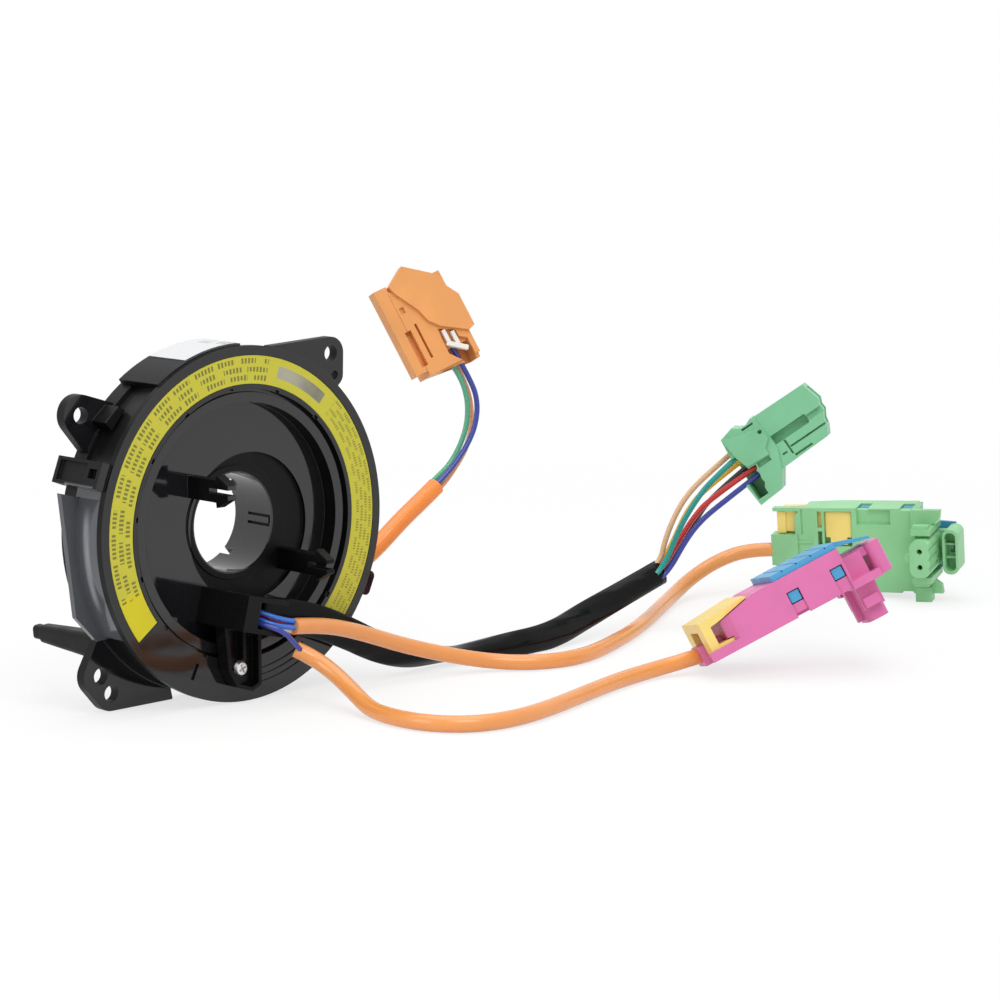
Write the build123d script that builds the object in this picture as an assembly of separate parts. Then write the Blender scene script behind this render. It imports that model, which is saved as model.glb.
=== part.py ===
"""Steering clock spring: the rotary contact reel behind a steering wheel, with its cables.

Frame: millimetres, +Z up, the drum's shaft axis along Y, the front face looking along -Y.
The origin is on the shaft axis in the plane of the mounting tabs' back faces.
The drum stands on its rim, rolled by STAND_ANGLE, with the cables laid out to its right.
"""
import math
import os

from build123d import *

# ---------------------------------------------------------------- driving dimensions
DRUM_R = 52.0            # outer radius of the front rim
FACE_Y = -18.5           # front face of the rim
STAND_ANGLE = 5.5        # roll of the fixed part about the shaft, degrees
RUN_GAP = 0.3            # clearance between a turning and a fixed piece
SEAT_GAP = 0.2           # clearance of pieces that snap together

# front cover
COVER_WALL = 1.6
COVER_FACE = 1.8         # thickness of the front ring
COVER_WALL_R = DRUM_R - 2.3      # outer radius where the drafted wall meets the flange plate
COVER_BACK_Y = -4.1
RIM_BACK_Y = -16.3
PLATE_Y = (-6.0, -4.1)   # flange plate on the left of the cover
RING_IN_R = 39.4
LABEL_IN_R = RING_IN_R + 1.4
LABEL_OUT_R = DRUM_R - 2.7
LABEL_DEPTH = 0.3
LABEL_THICK = 0.2
LABEL_ANGLES = (-148.0, -57.5)   # clear of the label from the second to the first, unrolled
NOTCH_STEP = 25.0
PAD_R = DRUM_R + 0.6     # raised sticker pad on the wall
PAD_ANGLES = (84.5, 119.5)
STICKER_ANGLES = (86.0, 106.0)
STICKER_Y = (-16.0, 0.5)
STICKER_GAP = 0.05


def off_rim(reach, angle):
    """Place at a reach beyond the front rim's radius, at an angle from the right, unrolled."""
    radius = DRUM_R + reach
    return radius * math.cos(math.radians(angle)), radius * math.sin(math.radians(angle))


# rear housing
PAN_R = DRUM_R - 1.0
PAN_BACK_Y = 2.5
PAN_FLOOR = 1.6
PAN_FRONT_Y = COVER_BACK_Y + 0.1
SPIGOT_WALL = 1.4
SPIGOT_FRONT_Y = -6.6
TAB_THICK = 3.3
TAB_HOLE_R = 2.4
SMALL_HOLE_R = 1.3
TAB_UL = off_rim(6.3563, 138.1952)
TAB_UR = off_rim(12.6409, 38.909)
TAB_UR_SMALL = off_rim(9.3223, 33.5605)
TAB_LL_UP = off_rim(6.5676, -140.8207)
TAB_LL_LOW = off_rim(8.247, -134.5965)
PEG_AT = off_rim(-1.9798, -143.2905)
PEG_TIP_Y = 33.0
OUTLET_AT = (50.0, -25.8)        # cable outlet behind the pan
OUTLET_TURN = 12.0
OUTLET_SIZE = (13.0, 8.6)
OUTLET_BACK_Y = 8.4

# rotor
BORE_R = 14.6
HUB_WALL = 1.6
LIP_R = BORE_R + 2.1
LIP_FRONT_Y = -12.9
FLOOR_Y = -12.3          # front of the dished floor
FLOOR_THICK = 2.5
ROTOR_R = RING_IN_R - 0.9
RECESS_R = ROTOR_R - 3.0
ROTOR_FACE_Y = -17.3
FLANGE_OUT = 2.9         # retaining flange behind the cover ring
FLANGE_THICK = 1.6
HUB_BACK_Y = -0.8
SLEEVE_WALL = 1.5
SLEEVE_FRONT_Y = -5.5
SLEEVE_BACK_Y = 4.0
SLEEVE_FLANGE = 2.6
POST_X = (-BORE_R - 1.6, -BORE_R + 1.4)
POST_Z = (8.8, 15.2)
POST_TIP_Y = -30.5
SHAFT_SLOT_ANGLES = (-50.0, 40.0)
FINGER_SLIT = 0.5        # depth of the U-shaped slit round the finger in the bore wall
FINGER_Z = (-2.9, 0.5)

# flat cable coil inside the drum
RIBBON_THICK = 0.3
RIBBON_Y = (-9.2, 0.3)
RIBBON_IN_R = BORE_R + 7.9
RIBBON_HALF_TURNS = 7

# cable exit housing on the rotor floor
EXIT_CORNER = (-11.5, -17.5)
EXIT_TURN = -13.8        # turn of the box about the shaft direction, degrees
EXIT_WIDE = 15.0
EXIT_HIGH = 10.5
EXIT_FRONT_Y = -34.0
EXIT_WALL = 1.4
EXIT_FRONT_WIDE = 5.0    # width of the closed part of the front wall
BOSS_BACK_Y = FACE_Y - 0.4
BOSS_PLATE = 1.7
BOSS_RIM_Y = -23.4
SCREW_AT = (-5.0, -41.3)
SCREW_HEAD_R = 2.4
SCREW_HEAD_HIGH = 1.9
SCREW_SHANK_R = 1.2

# cables
SHEATH_R = 2.425
SLEEVE_CORD_R = 3.5
STATOR_SHEATH_R = 2.85
WIRE_R = 0.9
LEAD_R = 0.75
STATOR_WIRE_R = 0.85

# squib connectors (green and pink are the same moulding family)
SQUIB_START = 8.0        # where the body begins behind the cable block
SQUIB_LONG = 50.0
SQUIB_WIDE = 29.4
SQUIB_THICK = 13.0
SQUIB_SLOPE = 3.0        # how far the back falls away towards the cable
SQUIB_SLOPE_END = 21.0
BLOCK_WIDE = 10.8        # cable block
CABLE_Z = -2.4
CABLE_WALL = 0.6
SLIDE_GAP = 0.3          # clearance round the sliding locks
LOCK_TRAVEL = 2.3
LOCK_THICK = 3.0
PANEL_X = (18.6, 27.6)
WING_X = (1.6, 4.6)
LUG_X = (SQUIB_LONG - 18.3, SQUIB_LONG - 3.3)
LUG_WIDE = 3.5
SIDE_WALL = 1.2
CARRIER_THICK = 1.9
CARRIER_X = (27.6, SQUIB_LONG - 0.4)
NOSE_X = SQUIB_LONG + 3.9
NOSE_SIZE = (7.0, 12.6)
NOSE_LONG = 12.4
PIN_HOLE_R = 0.9
PIN_PITCH = 5.4
HANDLE_X = SQUIB_LONG + 11.9
HANDLE_SIZE = (5.4, 15.4)
HANDLE_Z = (-9.4, 0.9)

# ---------------------------------------------------------------- frames of the connectors
GREEN_FRAME = Plane(origin=(246.5, -5.0, -51.85), x_dir=(0.4475, -0.8932, 0.044),
                    z_dir=(-0.89, -0.4496, -0.0758))
PINK_FRAME = Plane(origin=(133.5, -72.1, -52.0), x_dir=(0.7793, -0.4533, 0.4328),
                   z_dir=(0.2527, -0.4046, -0.8789))
SIX_WAY_FRAME = Plane(origin=(185.8, -34.0, 8.8), x_dir=(0.4973, -0.6452, 0.58),
                      z_dir=(-0.8094, -0.5856, 0.0425))
STATOR_FRAME = Plane(origin=(98.7, 2.0, 39.5), x_dir=(0.8951, -0.2554, 0.3655),
                     z_dir=(-0.3755, -0.8738, 0.3093))
EXIT_FRAME = Plane(origin=(EXIT_CORNER[0], FLOOR_Y, EXIT_CORNER[1]),
                   x_dir=(math.cos(math.radians(EXIT_TURN)), 0.0, math.sin(math.radians(EXIT_TURN))),
                   z_dir=(0.0, -1.0, 0.0))

# ---------------------------------------------------------------- routes of the cables
UPPER_SHEATH_ROUTE = [
    (5.2, -33.0, -28.7), (13.4, -32.0, -29.6), (24.2, -30.5, -31.7), (35.7, -29.5, -35.3),
    (50.5, -29.0, -40.7), (65.4, -31.0, -45.3), (81.5, -36.5, -49.2), (92.0, -46.5, -49.5),
    (109.5, -49.0, -49.5), (139.3, -35.8, -49.5), (163.0, -22.5, -49.5), (184.0, -8.9, -49.5),
    (203.0, 3.1, -49.3), (219.0, 9.0, -45.5), (231.5, 7.9, -40.7), (241.3, 2.4, -37.5), (247.9, -5.3, -37.4),
]
LOWER_SHEATH_ROUTE = [
    (6.2, -33.0, -35.5), (9.8, -36.5, -37.9), (11.6, -43.5, -41.6), (11.4, -52.0, -45.8),
    (9.4, -61.5, -49.3), (7.4, -74.0, -49.5), (9.4, -86.5, -49.5), (17.0, -95.6, -49.5),
    (30.0, -98.6, -49.5), (47.0, -95.6, -49.5), (70.7, -87.7, -49.5), (90.0, -81.7, -49.5),
    (105.0, -78.5, -49.5), (117.0, -79.6, -48.4), (126.1, -83.7, -46.1),
]
BLACK_SLEEVE_ROUTE = [
    (2.4, -22.3, -25.9), (18.0, -23.6, -28.9), (33.7, -23.3, -35.4), (46.5, -22.0, -41.7),
    (60.5, -21.3, -46.4), (75.0, -21.0, -48.5), (90.5, -22.2, -48.5), (104.5, -25.2, -48.4),
    (121.0, -23.8, -47.6), (137.5, -19.9, -44.6), (155.5, -18.2, -40.4), (172.8, -20.0, -34.4),
]
STATOR_SHEATH_ROUTE = [
    (51.0, 4.8, -25.6), (60.0, 4.4, -23.4), (69.4, 4.0, -18.4), (80.5, 4.0, -10.3), (88.9, 4.0, -5.2),
    (95.7, 4.0, -0.8),
]
SIX_WAY_WIRES = {
    "wire_tan": [(169.3, -18.9, -33.3), (173.2, -19.5, -31.6), (174.9, -20.3, -23.7), (177.6, -22.0, -15.9),
                 (181.2, -23.9, -9.5), (186.4, -27.4, -3.1), (197.8, -36.1, 9.0)],
    "wire_yellow": [(170.3, -17.3, -35.4), (174.1, -17.8, -33.7), (178.6, -19.6, -26.2),
                    (182.4, -22.4, -15.4), (186.8, -26.6, -7.5), (198.2, -38.7, 5.2)],
    "wire_teal": [(169.4, -21.5, -34.5), (173.0, -22.2, -31.6), (175.9, -25.6, -19.6),
                  (179.6, -29.4, -10.4), (183.3, -32.9, -3.8), (195.1, -39.3, 7.5)],
    "wire_red": [(170.0, -19.6, -35.4), (173.9, -20.2, -33.4), (178.9, -23.1, -23.8),
                 (182.1, -26.2, -16.6), (185.8, -29.8, -10.6), (197.4, -42.1, 1.5)],
    "wire_black": [(170.9, -19.0, -37.5), (174.9, -19.4, -35.6), (181.5, -19.6, -27.8),
                   (186.8, -22.2, -19.2), (190.0, -26.4, -10.6), (198.5, -40.1, 3.3)],
    "wire_navy": [(170.2, -21.5, -36.7), (174.1, -22.3, -34.6), (178.8, -26.0, -23.6),
                  (182.1, -29.4, -17.4), (186.6, -34.1, -11.8), (198.1, -43.2, -0.5)],
}
STATOR_WIRES = {
    "stator_wire_green": [(93.3, 5.2, -0.8), (96.6, 5.2, 1.3), (102.4, 4.9, 5.1), (107.0, 4.4, 11.5),
                          (109.4, 4.0, 18.4), (109.4, 4.0, 25.9), (106.1, 4.2, 33.7), (100.4, 6.5, 42.6)],
    "stator_wire_blue": [(93.5, 2.7, -0.9), (96.4, 2.6, 1.0), (101.4, 1.6, 5.6), (106.6, 1.0, 11.6),
                         (109.9, 0.8, 17.6), (110.9, 0.9, 24.5), (109.4, 2.0, 31.2), (103.5, 5.3, 42.9)],
    "stator_wire_white": [(94.6, 5.9, -3.1), (99.6, 6.3, -0.4), (107.0, 7.6, 3.0), (113.2, 8.9, 8.8),
                          (116.0, 9.0, 16.6), (114.9, 9.0, 24.4), (111.2, 8.6, 32.0), (101.5, 9.1, 42.0)],
    "stator_wire_orange": [(94.6, 3.3, -2.9), (99.4, 3.8, 0.0), (105.6, 5.2, 4.6), (111.0, 6.0, 9.9),
                           (113.5, 6.3, 16.6), (113.0, 6.4, 24.6), (110.2, 6.3, 31.0), (104.6, 7.9, 42.2)],
}
LEAD_WIRES = {
    "lead_wire_blue_top": [(-6.6, -13.9, -22.2), (-6.0, -27.6, -22.6), (-0.6, -33.4, -25.6),
                           (7.0, -33.4, -27.6)],
    "lead_wire_red": [(-3.6, -13.9, -23.4), (-3.2, -26.4, -24.0), (-0.4, -31.8, -26.6), (6.6, -32.0, -28.6)],
    "lead_wire_blue_mid": [(-7.6, -13.9, -24.4), (-5.8, -26.4, -24.7), (-2.0, -33.4, -27.5),
                           (6.6, -33.9, -29.2)],
    "lead_wire_white": [(-4.6, -13.9, -26.2), (-4.2, -26.0, -26.6), (-0.8, -31.6, -28.2),
                        (6.4, -32.3, -30.4)],
    "lead_wire_blue_low": [(-7.6, -13.9, -26.8), (-6.2, -31.6, -26.5), (-1.6, -37.0, -28.6),
                           (7.4, -35.0, -36.5)],
}


# ---------------------------------------------------------------- shared helpers
def turned(profile):
    """Solid of revolution about the shaft axis; the profile is (radius, y) points."""
    return revolve(make_face(Polyline(*profile, close=True)), axis=Axis.Y)


def slab(sketch, y_back, y_front):
    """An X-Z outline seen from the front, extruded from y_back forward to y_front."""
    plane = Plane(origin=(0, y_back, 0), x_dir=(1, 0, 0), z_dir=(0, -1, 0))
    return extrude(plane * sketch, amount=y_back - y_front)


def sector(r_in, r_out, start, end):
    """Ring sector sketch; angles in degrees, counter-clockwise seen from the front."""
    outer = CenterArc((0, 0), r_out, start, end - start)
    inner = CenterArc((0, 0), r_in, start, end - start)
    return make_face([outer, inner, Line(outer @ 0, inner @ 0), Line(outer @ 1, inner @ 1)])


def outline(*points):
    """Closed polygon sketch."""
    return make_face(Polyline(*points, close=True))


def hull_of(circles, points=()):
    """Taut outline round circles given as (x, z, r) and plain corner points."""
    edges = [Pos(x, z) * e for x, z, r in circles for e in Circle(r).edges()]
    edges += [Pos(x, z) * e for x, z in points for e in Circle(0.4).edges()]
    return make_hull(edges)


def block(x, y, z):
    """Box between the given (low, high) pairs."""
    size = (x[1] - x[0], y[1] - y[0], z[1] - z[0])
    centre = ((x[0] + x[1]) / 2, (y[0] + y[1]) / 2, (z[0] + z[1]) / 2)
    return Pos(*centre) * Box(*size)


def across(sketch, y_low, y_high):
    """Sketch drawn in (x, z), extruded along y between two planes."""
    return Pos(0, y_high, 0) * extrude(Plane.XZ * sketch, amount=y_high - y_low)


def rolled(solid):
    """Turn a fixed piece from its design attitude to the attitude it stands in."""
    return Rot(0, -STAND_ANGLE, 0) * solid


def fused(parts):
    """One solid from a list of overlapping ones."""
    return parts[0].fuse(*parts[1:]) if len(parts) > 1 else parts[0]


def bend_radii(points):
    """Arc radius at each inner point: as large as its two runs allow."""
    vectors = [Vector(*p) for p in points]
    radii = []
    for before, here, after in zip(vectors, vectors[1:], vectors[2:]):
        first = here - before
        second = after - here
        half_turn = math.radians(first.get_angle(second) / 2)
        radii.append(0.45 * min(first.length, second.length) / math.tan(half_turn))
    return radii


def tube(name, points, radius):
    """Cable body: a round section along straight runs and tangent arcs."""
    radii = bend_radii(points)
    path = FilletPolyline(*points, radius=radii)
    start = Plane(origin=path @ 0, z_dir=path % 0)
    solid = sweep(start * Circle(radius), path=path)
    length = path.length
    expected = math.pi * radius ** 2 * length
    print(f"{name}: length {length:.1f} mm, volume ratio {solid.volume / expected:.4f}, "
          f"radii {[round(r, 1) for r in radii]}")
    return solid


# ---------------------------------------------------------------- fixed drum pieces
def front_cover():
    """Front ring and drafted outer wall of the drum, with flange plate, pad and terminal block."""
    wall_in = COVER_WALL_R - COVER_WALL
    rim_in = DRUM_R - COVER_WALL - 1.0
    shell = turned([
        (RING_IN_R, FACE_Y), (DRUM_R, FACE_Y), (DRUM_R, RIM_BACK_Y), (COVER_WALL_R + 1.2, RIM_BACK_Y + 0.6),
        (COVER_WALL_R, PLATE_Y[0]), (COVER_WALL_R, COVER_BACK_Y), (wall_in, COVER_BACK_Y),
        (wall_in, PLATE_Y[0]), (rim_in, FACE_Y + COVER_FACE), (RING_IN_R, FACE_Y + COVER_FACE),
    ])
    skirt = slab(sector(wall_in, COVER_WALL_R + 1.4, 157.5, 209.5), COVER_BACK_Y, RIM_BACK_Y)
    pad = slab(sector(wall_in + 0.2, PAD_R, *PAD_ANGLES), COVER_BACK_Y, FACE_Y + 1.5)
    pad_tail = slab(sector(PAN_R + RUN_GAP, PAD_R, *PAD_ANGLES), 1.0, COVER_BACK_Y - 0.5)
    plate_shape = outline((-54.8, 18.8), (-53.8, -17.6), (-47.5, -25.8), (-38.0, -26.0), (-38.0, 20.0),
                          (-44.5, 15.0)) - Circle(wall_in)
    plate = slab(plate_shape, PLATE_Y[1], PLATE_Y[0])
    inside = slab(Circle(wall_in), COVER_BACK_Y + 0.1, FACE_Y + COVER_FACE)
    cover = fused([shell, skirt - inside, pad, pad_tail, plate, terminal_block()])
    cover -= slab(sector(LABEL_IN_R, LABEL_OUT_R, LABEL_ANGLES[1], 360 + LABEL_ANGLES[0]),
                  FACE_Y + LABEL_DEPTH, FACE_Y - 1)
    for index in range(12):
        notch = block((RING_IN_R - 0.5, RING_IN_R + 0.7), (FACE_Y - 1, FACE_Y + 0.8), (-0.8, 0.8))
        cover -= Rot(0, -(41.5 + NOTCH_STEP * index), 0) * notch
    for radius in (42.6, 44.6, 46.6):
        cover -= slab(sector(radius, radius + 0.8, -100.0, -66.0), FACE_Y + 0.4, FACE_Y - 1)
    for angle in (-121.0, -93.0):
        slot = block((42.6, 47.6), (FACE_Y - 1, FACE_Y + 0.9), (-0.6, 0.6))
        cover -= Rot(0, -angle, 0) * slot
    return rolled(cover)


def terminal_block():
    """Ribbon-end housing on the cover's wall, with its square inspection hole."""
    body = block((COVER_WALL_R - 1.0, DRUM_R + 3.2), (-17.6, 2.8), (-3.9, 3.9))
    body -= slab(Circle(PAN_R + RUN_GAP), 4.0, COVER_BACK_Y)
    body -= block((DRUM_R + 1.2, DRUM_R + 4.0), (-16.2, -12.6), (-1.6, 1.2))
    body -= block((DRUM_R + 2.2, DRUM_R + 4.0), (-11.4, 1.4), (-2.9, 2.9))
    return Rot(0, -154.0, 0) * body


def caution_label_ring():
    """Adhesive label in the cover's recess."""
    ends = (LABEL_ANGLES[1] + 0.6, 360 + LABEL_ANGLES[0] - 0.6)
    ring = sector(LABEL_IN_R + 0.15, LABEL_OUT_R - 0.15, *ends)
    return rolled(slab(ring, FACE_Y + LABEL_DEPTH, FACE_Y + LABEL_DEPTH - LABEL_THICK))


def side_sticker():
    """Data sticker wrapped on the wall pad."""
    sheet = sector(PAD_R + STICKER_GAP, PAD_R + STICKER_GAP + 0.15, *STICKER_ANGLES)
    return rolled(slab(sheet, STICKER_Y[1], STICKER_Y[0]))


def rear_housing():
    """Rear pan with its mounting tabs, stop lug, gusset and locating peg."""
    spigot_r = COVER_WALL_R - COVER_WALL - RUN_GAP
    pan = turned([
        (sleeve_outer_r() + RUN_GAP, PAN_BACK_Y - PAN_FLOOR),
        (spigot_r - SPIGOT_WALL, PAN_BACK_Y - PAN_FLOOR),
        (spigot_r - SPIGOT_WALL, SPIGOT_FRONT_Y), (spigot_r, SPIGOT_FRONT_Y), (spigot_r, PAN_FRONT_Y),
        (PAN_R, PAN_FRONT_Y), (PAN_R, PAN_BACK_Y - 1.0), (PAN_R - 1.0, PAN_BACK_Y),
        (sleeve_outer_r() + RUN_GAP, PAN_BACK_Y),
    ])
    keep_out = Circle(spigot_r + 1.0)
    upper_left = hull_of([(*TAB_UL, 5.9)], [(-32.0, 40.0), (-43.0, 28.4)])
    upper_right = hull_of([(*TAB_UR, 5.0), (*TAB_UR_SMALL, 3.4)], [(27.8, 46.3), (26.0, 42.0), (46.0, 26.0)])
    lower_left = hull_of([(*TAB_LL_UP, 6.0), (*TAB_LL_LOW, 5.1)],
                         [(-45.0, -26.4), (-21.0, -49.4), (-22.0, -42.0)])
    lug = Rot(0, 0, -29.2) * (Pos(58.6, 0) * RectangleRounded(17.0, 7.6, 1.6))
    tabs = slab((upper_left + upper_right + lower_left) - keep_out, 0.0, -TAB_THICK)
    lugs = slab(lug - keep_out, 0.0, -TAB_THICK - 0.8)
    gusset = slab(outline((-39.8, 36.6), (-34.6, 40.4), (-32.0, 38.6), (-37.4, 33.6)), -TAB_THICK + 0.2, -9.4)
    gusset -= slab(Circle(COVER_WALL_R + 0.9), 1.0, -20.0)
    taper = loft([Plane(origin=(0, -2.0, 0), z_dir=(0, 1, 0)) * RectangleRounded(8.4, 7.0, 2.0),
                  Plane(origin=(0, PEG_TIP_Y - 4.0, 0), z_dir=(0, 1, 0)) * RectangleRounded(5.4, 4.8, 1.6)])
    tip = Plane(origin=(0, PEG_TIP_Y - 4.2, 0), z_dir=(0, 1, 0)) * RectangleRounded(4.2, 3.6, 1.2)
    peg = Pos(PEG_AT[0], 0, PEG_AT[1]) * fused([taper, extrude(tip, amount=4.2)])
    outlet_shape = Pos(*OUTLET_AT) * Rot(0, 0, OUTLET_TURN) * RectangleRounded(*OUTLET_SIZE, 1.5)
    outlet = Rot(0, STAND_ANGLE, 0) * slab(outlet_shape, OUTLET_BACK_Y, PAN_BACK_Y - PAN_FLOOR + 0.1)
    housing = fused([pan, tabs, lugs, gusset, peg, outlet])
    for x, z, radius in ((*TAB_UL, TAB_HOLE_R), (*TAB_UR, TAB_HOLE_R), (*TAB_UR_SMALL, SMALL_HOLE_R),
                         (*TAB_LL_UP, TAB_HOLE_R), (*TAB_LL_LOW, TAB_HOLE_R)):
        housing -= slab(Pos(x, z) * Circle(radius), 1.0, -TAB_THICK - 1.0)
    return rolled(housing)


def flat_cable_coil():
    """Ribbon cable between rotor and housing: half rings on two alternating centres."""
    outer_r = COVER_WALL_R - COVER_WALL - RUN_GAP - SPIGOT_WALL - 0.6
    step = (outer_r - RIBBON_IN_R) / (RIBBON_HALF_TURNS - 0.5)
    turns = []
    for index in range(RIBBON_HALF_TURNS):
        radius = RIBBON_IN_R + step * index
        start = 0.0 if index % 2 == 0 else 180.0
        shift = 0.0 if index % 2 == 0 else step
        half = sector(radius - RIBBON_THICK / 2, radius + RIBBON_THICK / 2, start, start + 180.0)
        turns.append(slab(Pos(shift - step / 2, 0) * half, RIBBON_Y[1], RIBBON_Y[0]))
    return fused(turns)


# ---------------------------------------------------------------- turning pieces
def sleeve_outer_r():
    """Outer radius of the rotor's rear sleeve."""
    return BORE_R + HUB_WALL + SEAT_GAP + SLEEVE_WALL


def rotor():
    """Dished front plate with its hub tube, retaining flange and forked snap post."""
    floor_back = FLOOR_Y + FLOOR_THICK
    flange_front = FACE_Y + COVER_FACE + RUN_GAP
    hub_r = BORE_R + HUB_WALL
    disc = turned([
        (BORE_R, LIP_FRONT_Y), (LIP_R, LIP_FRONT_Y), (LIP_R, FLOOR_Y), (RECESS_R, FLOOR_Y),
        (RECESS_R, ROTOR_FACE_Y), (ROTOR_R, ROTOR_FACE_Y), (ROTOR_R, flange_front),
        (ROTOR_R + FLANGE_OUT, flange_front), (ROTOR_R + FLANGE_OUT, flange_front + FLANGE_THICK),
        (ROTOR_R, flange_front + FLANGE_THICK), (ROTOR_R, floor_back), (hub_r, floor_back),
        (hub_r, HUB_BACK_Y), (BORE_R, HUB_BACK_Y),
    ])
    crescent = (Pos(6.0, -2.0) * Circle(22.0)) - Circle(LIP_R + 2.0)
    disc -= slab(crescent & (Pos(20.0, 0.0) * Rectangle(24.0, 60.0)), FLOOR_Y + 1.2, FLOOR_Y - 1.0)
    side = Plane(origin=(POST_X[0], 0, 0), x_dir=(0, 1, 0), z_dir=(1, 0, 0))
    middle = (POST_Z[0] + POST_Z[1]) / 2
    barb_y = POST_TIP_Y + 5.4
    fork = outline((FLOOR_Y + 0.5, POST_Z[0]), (FLOOR_Y + 0.5, POST_Z[1]), (barb_y, POST_Z[1]),
                   (barb_y - 0.3, POST_Z[1] + 1.5), (POST_TIP_Y, middle + 2.0), (POST_TIP_Y, middle + 0.8),
                   (barb_y + 3.0, middle + 0.8), (barb_y + 3.0, middle - 0.8), (POST_TIP_Y, middle - 0.8),
                   (POST_TIP_Y, middle - 2.0), (barb_y - 0.3, POST_Z[0] - 1.5), (barb_y, POST_Z[0]))
    post = extrude(side * fork, amount=POST_X[1] - POST_X[0])
    slit = block((BORE_R - 1, BORE_R + FINGER_SLIT), (LIP_FRONT_Y + 0.8, HUB_BACK_Y - 1.2), FINGER_Z)
    slit -= block((BORE_R - 2, BORE_R + 2), (LIP_FRONT_Y + 1.6, HUB_BACK_Y),
                  (FINGER_Z[0] + 0.8, FINGER_Z[1] - 0.8))
    return fused([disc - slit, post])


def rotor_sleeve():
    """Rear bearing sleeve, clipped to the hub behind the rear pan."""
    outer = sleeve_outer_r()
    sleeve = turned([
        (BORE_R + HUB_WALL + SEAT_GAP, SLEEVE_FRONT_Y), (outer, SLEEVE_FRONT_Y),
        (outer, PAN_BACK_Y + RUN_GAP), (outer + SLEEVE_FLANGE, PAN_BACK_Y + RUN_GAP),
        (outer + SLEEVE_FLANGE, SLEEVE_BACK_Y), (BORE_R, SLEEVE_BACK_Y), (BORE_R, HUB_BACK_Y),
        (BORE_R + HUB_WALL + SEAT_GAP, HUB_BACK_Y),
    ])
    for angle in SHAFT_SLOT_ANGLES:
        slot = block((BORE_R - 1, outer + SLEEVE_FLANGE + 1), (HUB_BACK_Y + 0.5, SLEEVE_BACK_Y + 1),
                     (-1.2, 1.2))
        sleeve -= Rot(0, -angle, 0) * slot
    return sleeve


def cable_exit_housing():
    """Open-sided box that leads the cables off the rotor, with the boss of the lock screw."""
    depth = FLOOR_Y - EXIT_FRONT_Y
    box = block((0, EXIT_WIDE), (-EXIT_HIGH, 0), (0, depth))
    inner_y = (EXIT_WALL - EXIT_HIGH, -EXIT_WALL)
    box -= block((EXIT_WALL, EXIT_WIDE - EXIT_WALL), inner_y, (EXIT_WALL, depth - EXIT_WALL))
    box -= block((EXIT_WIDE - 2 * EXIT_WALL, EXIT_WIDE + 1), inner_y, (5.4, depth - EXIT_WALL))
    box -= block((EXIT_FRONT_WIDE, EXIT_WIDE + 1), inner_y, (depth - 2 * EXIT_WALL, depth + 1))
    box = EXIT_FRAME * box
    plate_shape = outline((-12.2, -27.4), (-10.8, -41.0), (-7.6, -46.4), (-2.0, -48.2), (1.4, -46.6),
                          (1.4, -30.6))
    plate = slab(plate_shape, BOSS_BACK_Y, BOSS_BACK_Y - BOSS_PLATE)
    rim = slab(plate_shape - offset(plate_shape, amount=-1.1), BOSS_BACK_Y, BOSS_RIM_Y)
    collar = slab(Pos(*SCREW_AT) * Circle(SCREW_HEAD_R + 1.0), BOSS_BACK_Y, BOSS_BACK_Y - BOSS_PLATE)
    web = slab(Pos(SCREW_AT[0], -34.5) * Rectangle(0.9, 8.4), BOSS_BACK_Y, BOSS_RIM_Y)
    housing = fused([box, plate, rim, collar, web])
    return housing - slab(Pos(*SCREW_AT) * Circle(SCREW_SHANK_R + 0.05), BOSS_BACK_Y + 1, BOSS_RIM_Y - 1)


def lock_screw():
    """Pan-head cross-recess screw kept in the boss, its tip clear of the cover."""
    seat_y = BOSS_BACK_Y - BOSS_PLATE
    head = turned([
        (0, seat_y), (SCREW_HEAD_R, seat_y), (SCREW_HEAD_R, seat_y - 0.9),
        (SCREW_HEAD_R - 0.6, seat_y - SCREW_HEAD_HIGH + 0.2), (SCREW_HEAD_R - 1.2, seat_y - SCREW_HEAD_HIGH),
        (0, seat_y - SCREW_HEAD_HIGH),
    ])
    shank = turned([(0, seat_y), (SCREW_SHANK_R, seat_y), (SCREW_SHANK_R, BOSS_BACK_Y), (0, BOSS_BACK_Y)])
    screw = fused([head, shank])
    for angle in (25.0, 115.0):
        screw -= Rot(0, -angle, 0) * block((-1.3, 1.3), (seat_y - 3.0, seat_y - 0.8), (-0.3, 0.3))
    return Pos(SCREW_AT[0], 0, SCREW_AT[1]) * screw


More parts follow.
